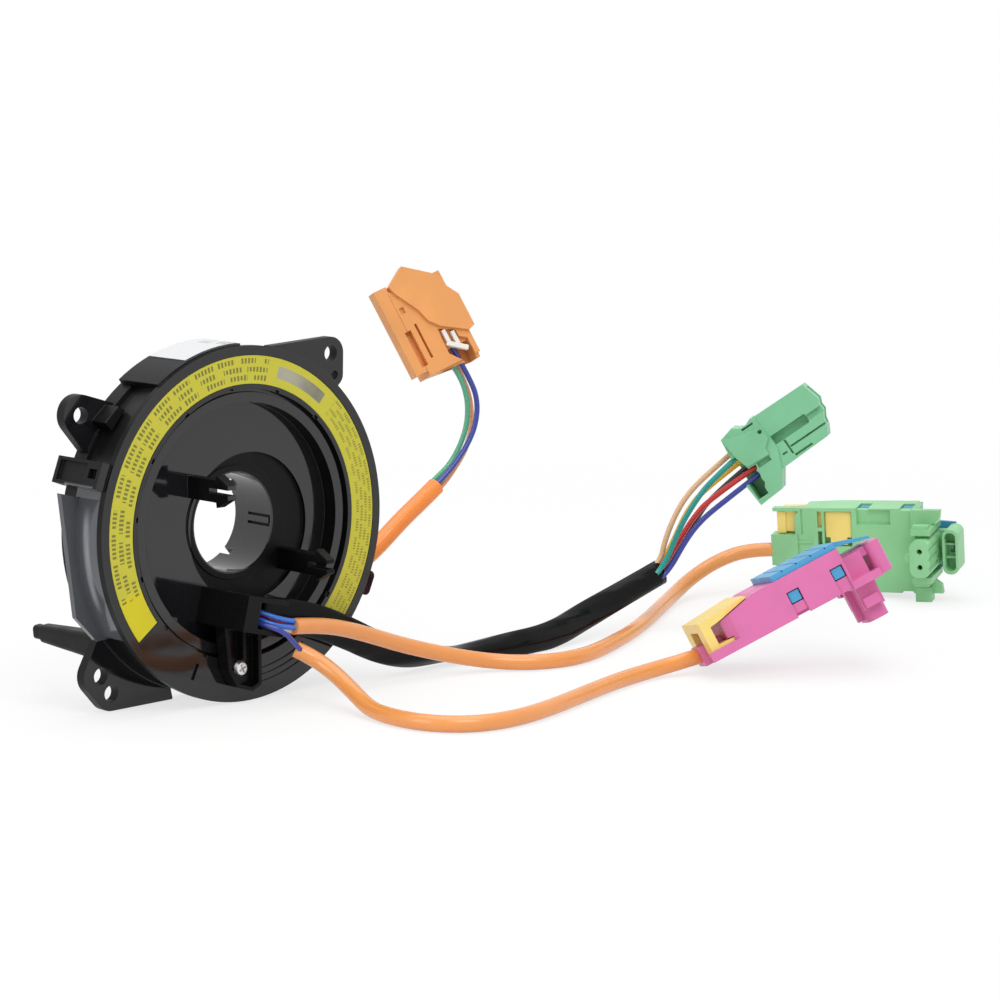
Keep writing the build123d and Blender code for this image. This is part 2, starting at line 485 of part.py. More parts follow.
# ---------------------------------------------------------------- squib connectors
def squib_housing():
    """Two-pole connector body with cable block, nose, latch arms and finger loop at the end."""
    wide, thick, mid = SQUIB_WIDE, SQUIB_THICK, SQUIB_WIDE / 2
    plan = outline((SQUIB_START, 0.6), (SQUIB_LONG - 1.2, 0.0), (SQUIB_LONG, 1.2), (SQUIB_LONG, wide - 1.2),
                   (SQUIB_LONG - 1.2, wide), (SQUIB_START + 3.0, wide), (SQUIB_START, wide - 2.6))
    side = outline((SQUIB_START, 0), (SQUIB_LONG, 0), (SQUIB_LONG, -thick), (SQUIB_SLOPE_END, -thick),
                   (SQUIB_START, SQUIB_SLOPE - thick))
    body = extrude(plan, amount=-thick) & across(side, 0, wide)
    cable_block = block((-0.4, SQUIB_START + 1), (mid - BLOCK_WIDE / 2, mid + BLOCK_WIDE / 2),
                        (CABLE_Z - SHEATH_R - CABLE_WALL, CABLE_Z + SHEATH_R + CABLE_WALL))
    ribs = [block((4.6, 14.0), (y, y + 0.9), (-0.5, 0.45)) for y in (mid - 2.6, mid + 2.4)]
    cheeks = [block((0.4, SQUIB_START + 4), y, (-3.0, 0.0)) for y in ((0.0, 1.2), (wide - 1.2, wide))]
    housing = fused([body, cable_block, *ribs, *cheeks, squib_nose(), finger_loop()])
    housing -= lock_pocket()
    for x in LUG_X:
        housing -= lug_pocket(x)
    bridge_y = mid + 6.6
    bars = [block((PANEL_X[0] - 1.1, PANEL_X[0] - 0.2), (mid + 1.0, wide - 0.8), (-0.6, 0.0)),
            block((PANEL_X[0] - LOCK_TRAVEL - 1.0, PANEL_X[0] - 0.9), (bridge_y, bridge_y + 1.3),
                  (-0.6, 0.0))]
    housing = fused([housing, *bars])
    housing -= block((PANEL_X[1] + 2.2, PANEL_X[1] + 13.8), (wide - 5.6, wide - 0.5), (-1.3, 1.0))
    return housing - block((10.2, 10.8), (wide - 9.2, wide - 0.6), (-0.3, 1.0))


def squib_nose():
    """Two-pole plug nose with its key, side flutes and the two latch arms."""
    mid, front = SQUIB_WIDE / 2, SQUIB_LONG - 1.0
    half_x, half_y = NOSE_SIZE[0] / 2, NOSE_SIZE[1] / 2
    nose = extrude(Plane(origin=(NOSE_X, mid, -9.0)) * RectangleRounded(*NOSE_SIZE, 2.6),
                   amount=9.0 + NOSE_LONG)
    nose += block((NOSE_X - half_x - 1.9, NOSE_X), (mid - 1.1, mid + 1.1), (-1.0, NOSE_LONG - 1.0))
    for y in (mid - 3.2, mid, mid + 3.2):
        nose -= Pos(NOSE_X + half_x + 0.25, y, NOSE_LONG / 2) * Cylinder(0.75, NOSE_LONG + 2)
    for side in (-1, 1):
        nose -= Pos(NOSE_X, mid + side * PIN_PITCH / 2, NOSE_LONG - 4.0) * Cylinder(PIN_HOLE_R, 10.0)
    pieces = [nose, block((front, NOSE_X), (mid - half_y, mid + half_y), (-9.0, -1.6))]
    for side in (-1, 1):
        inner, outer = mid + side * (half_y + 0.9), mid + side * (half_y + 3.0)
        low, high = sorted((inner, outer))
        pieces.append(block((front + 1.2, NOSE_X + 3.0), (low, high), (-9.0, 8.4)))
        low, high = sorted((outer - side * 0.3, outer + side * 1.2))
        pieces.append(block((front + 1.6, NOSE_X + 2.0), (low, high), (4.6, 7.8)))
        tip = mid + side * (mid - 0.3)
        wing = outline((front - 0.5, inner), (front - 0.5, tip), (NOSE_X + 5.0, tip),
                       (NOSE_X + 4.6, tip - side * 3.0), (NOSE_X + 1.8, outer))
        pieces.append(extrude(Pos(0, 0, -1.8) * wing, amount=2.5))
        low, high = sorted((inner, inner - side * 1.2))
        pieces.append(block((front, front + 3.0), (low, high), (-9.0, -2.0)))
    pieces.append(block((front + 1.0, front + 6.4), (-2.1, 3.0), (-1.5, 3.4)))
    return fused(pieces)


def finger_loop():
    """Rounded grip cup behind the nose and the arm that carries it."""
    mid = SQUIB_WIDE / 2
    low, high = HANDLE_Z
    cup = extrude(Plane(origin=(HANDLE_X, mid, low)) * RectangleRounded(*HANDLE_SIZE, 2.4), amount=high - low)
    hollow = RectangleRounded(HANDLE_SIZE[0] - 1.8, HANDLE_SIZE[1] - 2.2, 1.6)
    cup -= extrude(Plane(origin=(HANDLE_X, mid, high - 5.4)) * hollow, amount=6.0)
    cup += block((HANDLE_X - 2.0, HANDLE_X + 2.0), (mid + 2.0, mid + 2.6), (high - 5.6, high - 2.4))
    cup += block((HANDLE_X - 2.0, HANDLE_X + 2.0), (mid - 2.6, mid - 2.0), (high - 5.6, high - 2.4))
    cup -= block((HANDLE_X - 1.0, HANDLE_X + 1.0), (mid - 1.2, mid + 1.2), (low - 1, high))
    arm = block((SQUIB_LONG - 1.0, HANDLE_X - 1.5), (mid - 6.0, mid + 6.0), (low, low + 3.0))
    return cup + arm


def lock_pocket():
    """Space in the housing for the sliding lock, over its whole travel."""
    mid, wide = SQUIB_WIDE / 2, SQUIB_WIDE
    floor = -LOCK_THICK - 1.0 - SLIDE_GAP
    window = block((PANEL_X[0] - LOCK_TRAVEL - SLIDE_GAP, PANEL_X[1] + SLIDE_GAP),
                   (mid + 1.6 - SLIDE_GAP, wide - 1.5 + SLIDE_GAP), (floor, 1.0))
    channel = block((SQUIB_START - 1, PANEL_X[0]), (wide - 8.5 - SLIDE_GAP, wide - 1.5 + SLIDE_GAP),
                    (floor, -1.6 + SLIDE_GAP))
    return window + channel


def lug_pocket(x):
    """Channels, side windows and steps in both side walls for one pair of carrier lugs."""
    half = LUG_WIDE / 2 + 0.35
    pockets = []
    for side in (-1, 1):
        edge = SQUIB_WIDE / 2 * (1 + side)
        for near, far, z in ((SIDE_WALL, 4.7, (-SQUIB_THICK - 1, -4.0)), (-1.0, 2.0, (-8.2, -4.2)),
                             (-1.0, 0.7, (-4.3, 1.0))):
            pockets.append(block((x - half, x + half), sorted((edge - side * near, edge - side * far)), z))
    return fused(pockets)


def squib_carrier():
    """Snap-on back plate with grooves, a tongue over the grip arm and four hooked lugs."""
    back, mid = -SQUIB_THICK - 0.02, SQUIB_WIDE / 2
    outer = back - CARRIER_THICK
    plate = block(CARRIER_X, (0.8, SQUIB_WIDE - 0.8), (outer, back))
    tip_x = HANDLE_X - 0.1
    tongue = across(outline((CARRIER_X[1] - 1, outer), (CARRIER_X[1] + 0.6, outer), (tip_x, outer + 3.6),
                            (tip_x, outer + 4.4), (SQUIB_LONG + 0.8, back), (CARRIER_X[1] - 1, back)),
                    mid - 8.0, mid + 8.0)
    lugs = []
    for x in LUG_X:
        for side in (-1, 1):
            edge = mid * (1 + side)
            span = (x - LUG_WIDE / 2, x + LUG_WIDE / 2)
            lugs.append(block(span, sorted((edge - side * 4.4, edge - side * 1.5)), (back - 0.5, -4.3)))
            lugs.append(block(span, sorted((edge - side * 1.6, edge - side * 0.6)), (-7.9, -4.6)))
    carrier = fused([plate, tongue, *lugs])
    for index in range(4):
        x = LUG_X[0] - 0.3 + 5.0 * index
        carrier -= block((x, x + 0.5), (-1, SQUIB_WIDE + 1), (outer - 1, outer + 0.6))
    return carrier


def slope_at(x):
    """Height of the body's sloped back at a distance from the cable end."""
    return SQUIB_SLOPE - SQUIB_THICK - SQUIB_SLOPE * (x - SQUIB_START) / (SQUIB_SLOPE_END - SQUIB_START)


def squib_lock():
    """Sliding secondary lock: wedge plate on the sloped back, two wings and the window panel."""
    mid, wide = SQUIB_WIDE / 2, SQUIB_WIDE
    end_x = SQUIB_SLOPE_END - 2.4
    profile = outline((WING_X[0], slope_at(SQUIB_START) + 0.6),
                      (SQUIB_START, slope_at(SQUIB_START) - SLIDE_GAP), (end_x, slope_at(end_x) - SLIDE_GAP),
                      (end_x - 0.6, -SQUIB_THICK - 0.5), (WING_X[0], 0.7 - SQUIB_THICK))
    wedge = across(profile, 1.5, wide - 1.5)
    top = -SQUIB_THICK + 1.5
    gap = BLOCK_WIDE / 2 + SLIDE_GAP
    wings = [block(WING_X, (1.5, mid - gap), (top, -1.1)),
             block(WING_X, (mid + gap, wide - 1.5), (top, -1.1))]
    low = -LOCK_THICK - 1.0
    strip = block((WING_X[0], PANEL_X[0] + 1), (wide - 8.5, wide - 1.5), (low, -1.6))
    panel = block(PANEL_X, (mid + 1.6, wide - 1.5), (low, -1.0))
    notch_y = wide - 10.4
    panel -= block((PANEL_X[0] - 1, PANEL_X[0] + 1.6), (mid, notch_y), (low - 1, 0))
    panel -= block((PANEL_X[1] - 1.6, PANEL_X[1] + 1), (mid, notch_y), (low - 1, 0))
    return fused([wedge, *wings, strip, panel])


# ---------------------------------------------------------------- other connectors
def six_way_connector():
    """Six-way connector: wire-entry shroud with latch flap at the rear and a keyed, grooved front."""
    shroud = extrude(outline((0.3, 0), (2.6, 0.6), (5.2, 1.3), (6.4, 0.4), (7.9, -0.5), (9.9, -0.4),
                             (12.0, 0.6), (13.2, -0.6), (14.1, -8.0), (14.1, -12.5), (11.4, -18.9),
                             (7.8, -24.1), (-0.8, -24.7), (-1.4, -16.0)), amount=-12.5)
    flap = extrude(outline((0.3, 0), (1.0, -7.0), (2.6, -12.0), (10.8, -12.5), (11.0, -10.2), (13.6, -8.0),
                           (12.6, -3.4), (6.0, -1.8)), amount=0.8)
    nose_shape = outline((12.6, 0.3), (32.1, 0.1), (33.9, -6.5), (33.1, -8.4), (33.2, -10.4), (31.7, -13.0),
                         (31.3, -15.2), (29.7, -18.2), (11.4, -18.8))
    nose = extrude(Pos(0, 0, -11.6) * nose_shape, amount=11.0)
    body = fused([shroud, flap, nose])
    body -= block((-3, 6.5), (-16.8, -2.0), (-10.9, -2.2))
    body -= block((-0.4, 6.5), (-22.8, -16.0), (-10.9, -2.2))
    mouth = outline((-0.4, -12.6), (5.2, -12.8), (5.0, -14.0), (4.3, -14.6), (4.7, -16.0), (4.2, -17.6),
                    (4.5, -19.2), (3.5, -20.5), (3.4, -22.8), (-0.4, -22.8))
    body -= extrude(Pos(0, 0, -4.0) * mouth, amount=6.0)
    torn_edge = outline((-3, -7.0), (0.9, -7.2), (2.5, -12.7), (-0.3, -16.8), (-3, -16.8))
    body -= extrude(Pos(0, 0, -4.0) * torn_edge, amount=6.0)
    body -= block((5.6, 10.4), (-14.4, -12.7), (-1.6, 1.0))
    body -= block((7.7, 12.0), (-1.5, -0.9), (-2.2, 2.0))
    body -= Pos(12.3, -4.8, 0) * Cylinder(0.7, 3.0)
    grooves = [((14.2, 27.3), (-11.2, -8.0), -4.4), ((27.0, 35.0), (-10.7, -8.7), -2.2),
               ((18.0, 33.0), (-14.6, -14.0), -2.4), ((17.0, 17.7), (-16.6, -11.4), -2.0),
               ((14.3, 16.0), (-15.4, -14.8), -2.0), ((17.6, 24.2), (-17.8, -17.1), -2.2)]
    for x, y, z in grooves:
        body -= block(x, y, (z, 1.0))
    return body - block((24.0, 35.0), (-14.6, -1.4), (-10.2, -5.6))


def stator_connector_housing():
    """Connector of the fixed side: chamfered cap, side rail and wire-entry block."""
    cap = extrude(outline((-6.4, 27.8), (0.5, 32.0), (10.9, 24.3), (11.2, 20.4), (13.6, 16.5), (13.6, 5.7),
                          (11.3, 4.9), (3.1, 9.9), (0.3, 12.9), (-1.1, 17.4), (-5.7, 25.2)), amount=-3.0)
    body = block((-7.2, 11.6), (-2.6, 26.0), (-11.4, -1.2))
    rail = block((-11.4, -6.8), (-1.0, 28.4), (-6.4, -1.4))
    foot = outline((-6.8, -2.4), (11.1, -4.1), (11.6, 3.7), (-6.8, 3.4))
    skirt = extrude(Plane(origin=(0, 0, -11.4)) * foot, amount=9.4)
    housing = fused([cap, body, rail, skirt])
    housing -= block((-8.2, -6.1), (0.8, 12.8), (-3.6, 0.0))
    housing -= block((-4.2, -3.4), (2.2, 14.0), (-2.8, 0.0))
    housing -= block((-6.3, -4.8), (18.4, 20.4), (-2.0, 0.0))
    housing -= block((-1.2, 10.4), (-6.0, 2.4), (-10.2, -2.6))
    recess = outline((1.9, 5.6), (2.3, 9.5), (7.4, 7.1), (7.5, 4.6), (9.9, 3.0), (9.9, -5.0), (7.0, -5.0),
                     (1.9, 1.0))
    housing -= extrude(Pos(0, 0, -2.7) * recess, amount=4.0)
    return housing - block((-5.0, 9.6), (16.0, 33.0), (-9.8, -4.2))


def stator_connector_lock():
    """White sliding terminal lock: two prongs on a slanted cross bar."""
    bar = Pos(5.7, 2.2, -1.7) * Rot(0, 0, -36) * Box(7.2, 1.5, 1.6)
    prongs = [block((3.0, 4.3), (3.4, 8.5), (-2.4, -1.0)), block((5.6, 6.9), (1.8, 7.0), (-2.4, -1.0))]
    return fused([bar, *prongs])


# ---------------------------------------------------------------- assembly
def build():
    """All pieces by node name."""
    parts = {
        "rear_housing": rear_housing(),
        "front_cover": front_cover(),
        "caution_label_ring": caution_label_ring(),
        "side_sticker": side_sticker(),
        "flat_cable_coil": rolled(flat_cable_coil()),
        "rotor": rotor(),
        "rotor_sleeve": rotor_sleeve(),
        "cable_exit_housing": cable_exit_housing(),
        "lock_screw": lock_screw(),
        "six_way_connector": SIX_WAY_FRAME.location * six_way_connector(),
        "stator_connector_housing": STATOR_FRAME.location * stator_connector_housing(),
        "stator_connector_lock": STATOR_FRAME.location * stator_connector_lock(),
    }
    for colour, frame in (("green", GREEN_FRAME), ("pink", PINK_FRAME)):
        parts[f"{colour}_squib_housing"] = frame.location * squib_housing()
        parts[f"{colour}_squib_carrier"] = frame.location * squib_carrier()
        parts[f"{colour}_squib_lock"] = frame.location * squib_lock()
    parts["orange_sheath_upper"] = tube("orange_sheath_upper", UPPER_SHEATH_ROUTE, SHEATH_R)
    parts["orange_sheath_lower"] = tube("orange_sheath_lower", LOWER_SHEATH_ROUTE, SHEATH_R)
    parts["black_sleeve"] = tube("black_sleeve", BLACK_SLEEVE_ROUTE, SLEEVE_CORD_R)
    parts["stator_sheath"] = tube("stator_sheath", STATOR_SHEATH_ROUTE, STATOR_SHEATH_R)
    for routes, radius in ((SIX_WAY_WIRES, WIRE_R), (STATOR_WIRES, STATOR_WIRE_R), (LEAD_WIRES, LEAD_R)):
        for name, route in routes.items():
            parts[name] = tube(name, route, radius)
    return parts


def main():
    """Build every piece and write one STEP file for each."""
    os.makedirs("parts", exist_ok=True)
    for name, solid in build().items():
        export_step(solid, f"parts/{name}.step")


if __name__ == "__main__":
    main()
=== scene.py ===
"""Steering clock spring with its cables: finishes, soft cables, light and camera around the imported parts."""

from __future__ import annotations

import logging
import math
from dataclasses import dataclass
from enum import Enum
from typing import Mapping, Sequence

import bmesh
import bpy
from mathutils import Matrix, Vector


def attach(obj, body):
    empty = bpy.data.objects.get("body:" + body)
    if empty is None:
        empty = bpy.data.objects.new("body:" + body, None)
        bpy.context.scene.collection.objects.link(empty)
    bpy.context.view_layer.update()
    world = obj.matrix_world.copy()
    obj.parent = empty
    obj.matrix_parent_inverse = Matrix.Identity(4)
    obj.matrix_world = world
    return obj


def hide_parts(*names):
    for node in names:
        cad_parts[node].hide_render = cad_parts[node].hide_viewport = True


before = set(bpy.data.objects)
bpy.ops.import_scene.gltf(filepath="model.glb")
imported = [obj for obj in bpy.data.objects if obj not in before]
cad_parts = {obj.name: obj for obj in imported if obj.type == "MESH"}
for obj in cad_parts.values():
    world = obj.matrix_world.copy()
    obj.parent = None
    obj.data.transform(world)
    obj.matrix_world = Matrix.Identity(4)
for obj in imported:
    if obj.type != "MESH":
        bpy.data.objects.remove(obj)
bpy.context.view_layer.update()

log = logging.getLogger("clock_spring")

Point = tuple[float, float, float]
Colour = tuple[float, float, float]
MM = 0.001
FULL_TURN = 360.0
WHITE = (1.0, 1.0, 1.0, 1.0)


# ---------------------------------------------------------------- shader language
class Field:
    """A node socket that takes part in Python arithmetic."""

    def __init__(self, paint: Paint, socket: bpy.types.NodeSocket) -> None:
        """Wrap an output socket of a node in the material being written."""
        self.paint = paint
        self.socket = socket

    def _math(self, operation: str, *operands: Field | float) -> Field:
        """Result of one Math node with these inputs, in order."""
        return self.paint.node("ShaderNodeMath", {"operation": operation}, dict(enumerate(operands)))

    def __add__(self, other: Field | float) -> Field:
        """Sum of this and other."""
        return self._math("ADD", self, other)

    def __radd__(self, other: float) -> Field:
        """Sum of other and this."""
        return self._math("ADD", other, self)

    def __sub__(self, other: Field | float) -> Field:
        """This less other."""
        return self._math("SUBTRACT", self, other)

    def __rsub__(self, other: float) -> Field:
        """Other less this."""
        return self._math("SUBTRACT", other, self)

    def __mul__(self, other: Field | float) -> Field:
        """Product of this and other."""
        return self._math("MULTIPLY", self, other)

    def __rmul__(self, other: float) -> Field:
        """Product of other and this."""
        return self._math("MULTIPLY", other, self)

    def __truediv__(self, other: Field | float) -> Field:
        """This divided by other."""
        return self._math("DIVIDE", self, other)

    def __pow__(self, other: float) -> Field:
        """This to the power of other."""
        return self._math("POWER", self, other)

    def __abs__(self) -> Field:
        """Size of this without its sign."""
        return self._math("ABSOLUTE", self)

    def floor(self) -> Field:
        """Whole part of this."""
        return self._math("FLOOR", self)

    def fract(self) -> Field:
        """What is left over the whole part."""
        return self._math("FRACT", self)

    def least(self, other: Field | float) -> Field:
        """The smaller of this and other."""
        return self._math("MINIMUM", self, other)

    def most(self, other: Field | float) -> Field:
        """The larger of this and other."""
        return self._math("MAXIMUM", self, other)

    def modulo(self, other: float) -> Field:
        """Remainder of this over other."""
        return self._math("MODULO", self, other)

    def turn_from(self, other: Field) -> Field:
        """Angle whose rise is this and whose run is other, in degrees."""
        return self._math("ARCTAN2", self, other) * math.degrees(1.0)

    def distance(self, other: Field) -> Field:
        """Distance from the origin when this and other are the two coordinates."""
        return (self * self + other * other) ** 0.5

    def rises(self, low: float, high: float) -> Field:
        """Go smoothly from 0 at low to 1 at high."""
        return self.paint.node("ShaderNodeMapRange", {"interpolation_type": "SMOOTHSTEP"},
                               {0: self, 1: low, 2: high, 3: 0.0, 4: 1.0})

    def falls(self, low: float, high: float) -> Field:
        """Go smoothly from 1 at low to 0 at high."""
        return 1.0 - self.rises(low, high)

    def within(self, low: float, high: float, soft: float) -> Field:
        """1 between low and high, 0 outside, with edges that fade over a width of soft each way."""
        return self.rises(low - soft, low + soft) * self.falls(high - soft, high + soft)


class Paint:
    """Writes one procedural material, or the surroundings."""

    def __init__(self, name: str, tree: bpy.types.NodeTree | None = None) -> None:
        """Start with an empty node tree.

        Args:
            name: The material's name.
            tree: The tree to write instead of a new material's.
        """
        if tree is None:
            self.material = bpy.data.materials.new(name)
            self.material.use_nodes = True
            tree = self.material.node_tree
        self.tree = tree
        self.tree.nodes.clear()

    def node(self, kind: str, settings: Mapping[str, object], inputs: Mapping[int | str, object],
             output: int | str = 0) -> Field | None:
        """Add any node.

        Args:
            kind: Blender's node type.
            settings: Properties set first.
            inputs: Value or Field for each input, by index or name.
            output: The output that the result stands for.

        Returns:
            The chosen output, or None for a node that has none.
        """
        made = self.tree.nodes.new(kind)
        for key, value in settings.items():
            setattr(made, key, value)
        for key, value in inputs.items():
            if isinstance(value, Field):
                self.tree.links.new(value.socket, made.inputs[key])
            else:
                made.inputs[key].default_value = value
        return Field(self, made.outputs[output]) if made.outputs else None

    def place(self) -> Field:
        """Position on the part, in metres."""
        return self.node("ShaderNodeTexCoord", {}, {}, "Object")

    def axis(self, vector: Field, letter: str) -> Field:
        """One coordinate of a vector: X, Y or Z."""
        return self.node("ShaderNodeSeparateXYZ", {}, {0: vector}, letter)

    def noise(self, size: float, detail: float = 2.0, vector: Field | None = None) -> Field:
        """Cloudy noise from 0 to 1, its patches' size in metres, at a vector or the part's own place."""
        inputs = {"Vector": vector or self.place(), "Scale": 1.0 / size, "Detail": detail}
        return self.node("ShaderNodeTexNoise", {}, inputs)

    def chance(self, seed: Field) -> Field:
        """A number from 0 to 1 drawn for each whole seed."""
        return self.node("ShaderNodeTexWhiteNoise", {"noise_dimensions": "1D"}, {"W": seed}, "Value")

    def specks(self, size: float, share: float) -> Field:
        """1 on scattered specks, whose radius is a share of the distance between them in metres."""
        inputs = {"Vector": self.place(), "Scale": 1.0 / size}
        return self.node("ShaderNodeTexVoronoi", {}, inputs, "Distance").falls(share * 0.6, share)

    def motes(self, size: float, share: float) -> Field:
        """Specks of dust that gather in drifts."""
        return self.specks(size, share) * self.noise(9.0 * MM).rises(0.5, 0.65)

    def blend(self, first: Field | Colour, second: Field | Colour, factor: Field) -> Field:
        """Mix two colours.

        Args:
            first: Colour at factor 0.
            second: Colour at factor 1.
            factor: The share of the second.

        Returns:
            The mixed colour.
        """
        inputs = {0: factor}
        for key, colour in ((6, first), (7, second)):
            inputs[key] = colour if isinstance(colour, Field) else (*colour, 1.0)
        return self.node("ShaderNodeMix", {"data_type": "RGBA"}, inputs, 2)

    def relief(self, height: Field, depth: float, edge: float = 0.0) -> Field:
        """Bump from a height between 0 and 1.

        Args:
            height: The height.
            depth: What a height of 1 is, in metres.
            edge: Radius that sharp edges are rounded to, in metres.

        Returns:
            The bent normal.
        """
        inputs = {"Strength": 1.0, "Distance": depth, "Height": height}
        if edge > 0.0:
            inputs["Normal"] = self.node("ShaderNodeBevel", {"samples": 6}, {"Radius": edge})
        return self.node("ShaderNodeBump", {}, inputs, "Normal")

    def background_ray(self) -> Field:
        """1 for rays that see the background: from the camera, a gloss or a clear piece."""
        seen: Field | None = None
        for ray in ("Is Camera Ray", "Is Glossy Ray", "Is Transmission Ray"):
            one = self.node("ShaderNodeLightPath", {}, {}, ray)
            seen = one if seen is None else seen.most(one)
        return seen

    def surface(self, **sockets: object) -> bpy.types.Material:
        """End the material with a Principled shader, _ standing for a space in a socket name."""
        return self.end(self.principled(**sockets))

    def principled(self, **sockets: object) -> Field:
        """A Principled shader, _ standing for a space in a socket name."""
        inputs = {key.replace("_", " "): value for key, value in sockets.items()}
        return self.node("ShaderNodeBsdfPrincipled", {}, inputs)

    def end(self, shader: Field) -> bpy.types.Material:
        """End the material with a shader and return it."""
        self.node("ShaderNodeOutputMaterial", {}, {0: shader})
        return self.material


# ---------------------------------------------------------------- finishes
def shade(colour: Colour, factor: float) -> Colour:
    """A colour made darker by a factor below 1 or lighter by one above, no part above 1."""
    return tuple(min(1.0, part * factor) for part in colour)


@dataclass(frozen=True)
class MouldedPlastic:
    """Injection-moulded plastic: mould grain, soft edges, handling smudges, flow shading and dust."""

    name: str
    colour: Colour
    roughness: float = 0.38
    smudge: float = 0.12
    smudge_size: float = 5.0 * MM
    grain_size: float = 0.35 * MM
    grain_depth: float = 0.008 * MM
    flow: float = 0.05
    flow_size: float = 14.0 * MM
    dust: float = 0.0
    dust_gap: float = 2.6 * MM
    dust_share: float = 0.035
    dust_grey: Colour = (0.45, 0.45, 0.47)
    dust_roughness: float = 0.3
    edge: float = 0.22 * MM
    gleam: float = 0.4

    def material(self) -> bpy.types.Material:
        """Write the material."""
        paint = Paint(self.name)
        cloud = paint.noise(self.flow_size, 3.0).rises(0.3, 0.7)
        colour = paint.blend(shade(self.colour, 1.0 - self.flow), shade(self.colour, 1.0 + self.flow), cloud)
        smears = paint.noise(self.smudge_size, 5.0).rises(0.35, 0.75)
        rough = self.roughness + self.smudge * smears
        if self.dust > 0.0:
            motes = paint.motes(self.dust_gap, self.dust_share)
            colour = paint.blend(colour, self.dust_grey, motes * self.dust)
            rough = (rough + motes * self.dust_roughness).least(0.9)
        grain = paint.noise(self.grain_size, 3.0)
        return paint.surface(Base_Color=colour, Roughness=rough, Specular_IOR_Level=self.gleam,
                             Normal=paint.relief(grain, self.grain_depth, self.edge))


@dataclass(frozen=True)
class ShadedWell:
    """Matt disc painted darker as shade on a polished face, partly over the moulded recess, and the polished
    bore inside it.
    """

    x: float
    z: float
    radius: float
    bore: float = 15.0 * MM
    shade_edge_soft: float = 0.15 * MM
    bore_soft: float = 0.1 * MM

    def polished(self, face: Field, across: Field, up: Field) -> Field:
        """Cut the painted shade disc out of the polished face and add the bore.

        Args:
            face: Mask of the polished face.
            across: Place across the shaft.
            up: Place upwards.

        Returns:
            Mask of all that is polished.
        """
        away = (across - self.x).distance(up - self.z)
        shaft = across.distance(up)
        # inside the disc the face takes the darker matt copy: painted shade, partly past the moulded recess
        face = face * (away - self.radius).rises(-self.shade_edge_soft, self.shade_edge_soft)
        return face.most(shaft.falls(self.bore - self.bore_soft, self.bore + self.bore_soft))


@dataclass(frozen=True)
class Panel:
    """Grey wall stretch of the drum, partly smoky grey and partly painted reflection, with a painted highlight
    band.
    """

    turn: tuple[float, float]
    radius: float = 47.0 * MM
    radius_soft: float = 0.4 * MM
    depth: tuple[float, float] = (-16.2 * MM, -3.0 * MM)
    # panel grey: partly the smoky plastic's own grey, partly painted reflection
    grey_and_reflection: Colour = (0.085, 0.09, 0.10)
    # a lighter band painted on as a highlight, standing in for a reflection along the wall
    highlight_depth: tuple[float, float] = (-11.2 * MM, -9.0 * MM)
    highlight_inset: tuple[float, float] = (9.0, 14.0)
    highlight_grey: Colour = (0.27, 0.28, 0.30)

    def masks(self, across: Field, deep: Field, up: Field) -> tuple[Field, Field]:
        """Where the panel and its painted highlight band are.

        Args:
            across: Place across the shaft.
            deep: Place along the shaft.
            up: Place upwards.

        Returns:
            The panel's mask and the painted highlight's.
        """
        low, high = self.turn
        turned = (up.turn_from(across) + FULL_TURN).modulo(FULL_TURN)
        side = turned.within(low, high, 0.4)
        side = side * across.distance(up).rises(self.radius, self.radius + self.radius_soft)
        side = side * deep.within(*self.depth, 0.1 * MM)
        # painted highlight: the lighter band that stands in for a reflection
        painted_highlight = side * deep.within(*self.highlight_depth, 0.9 * MM)
        return side, painted_highlight * turned.within(low + self.highlight_inset[0], high - self.highlight_inset[1], 4.0)


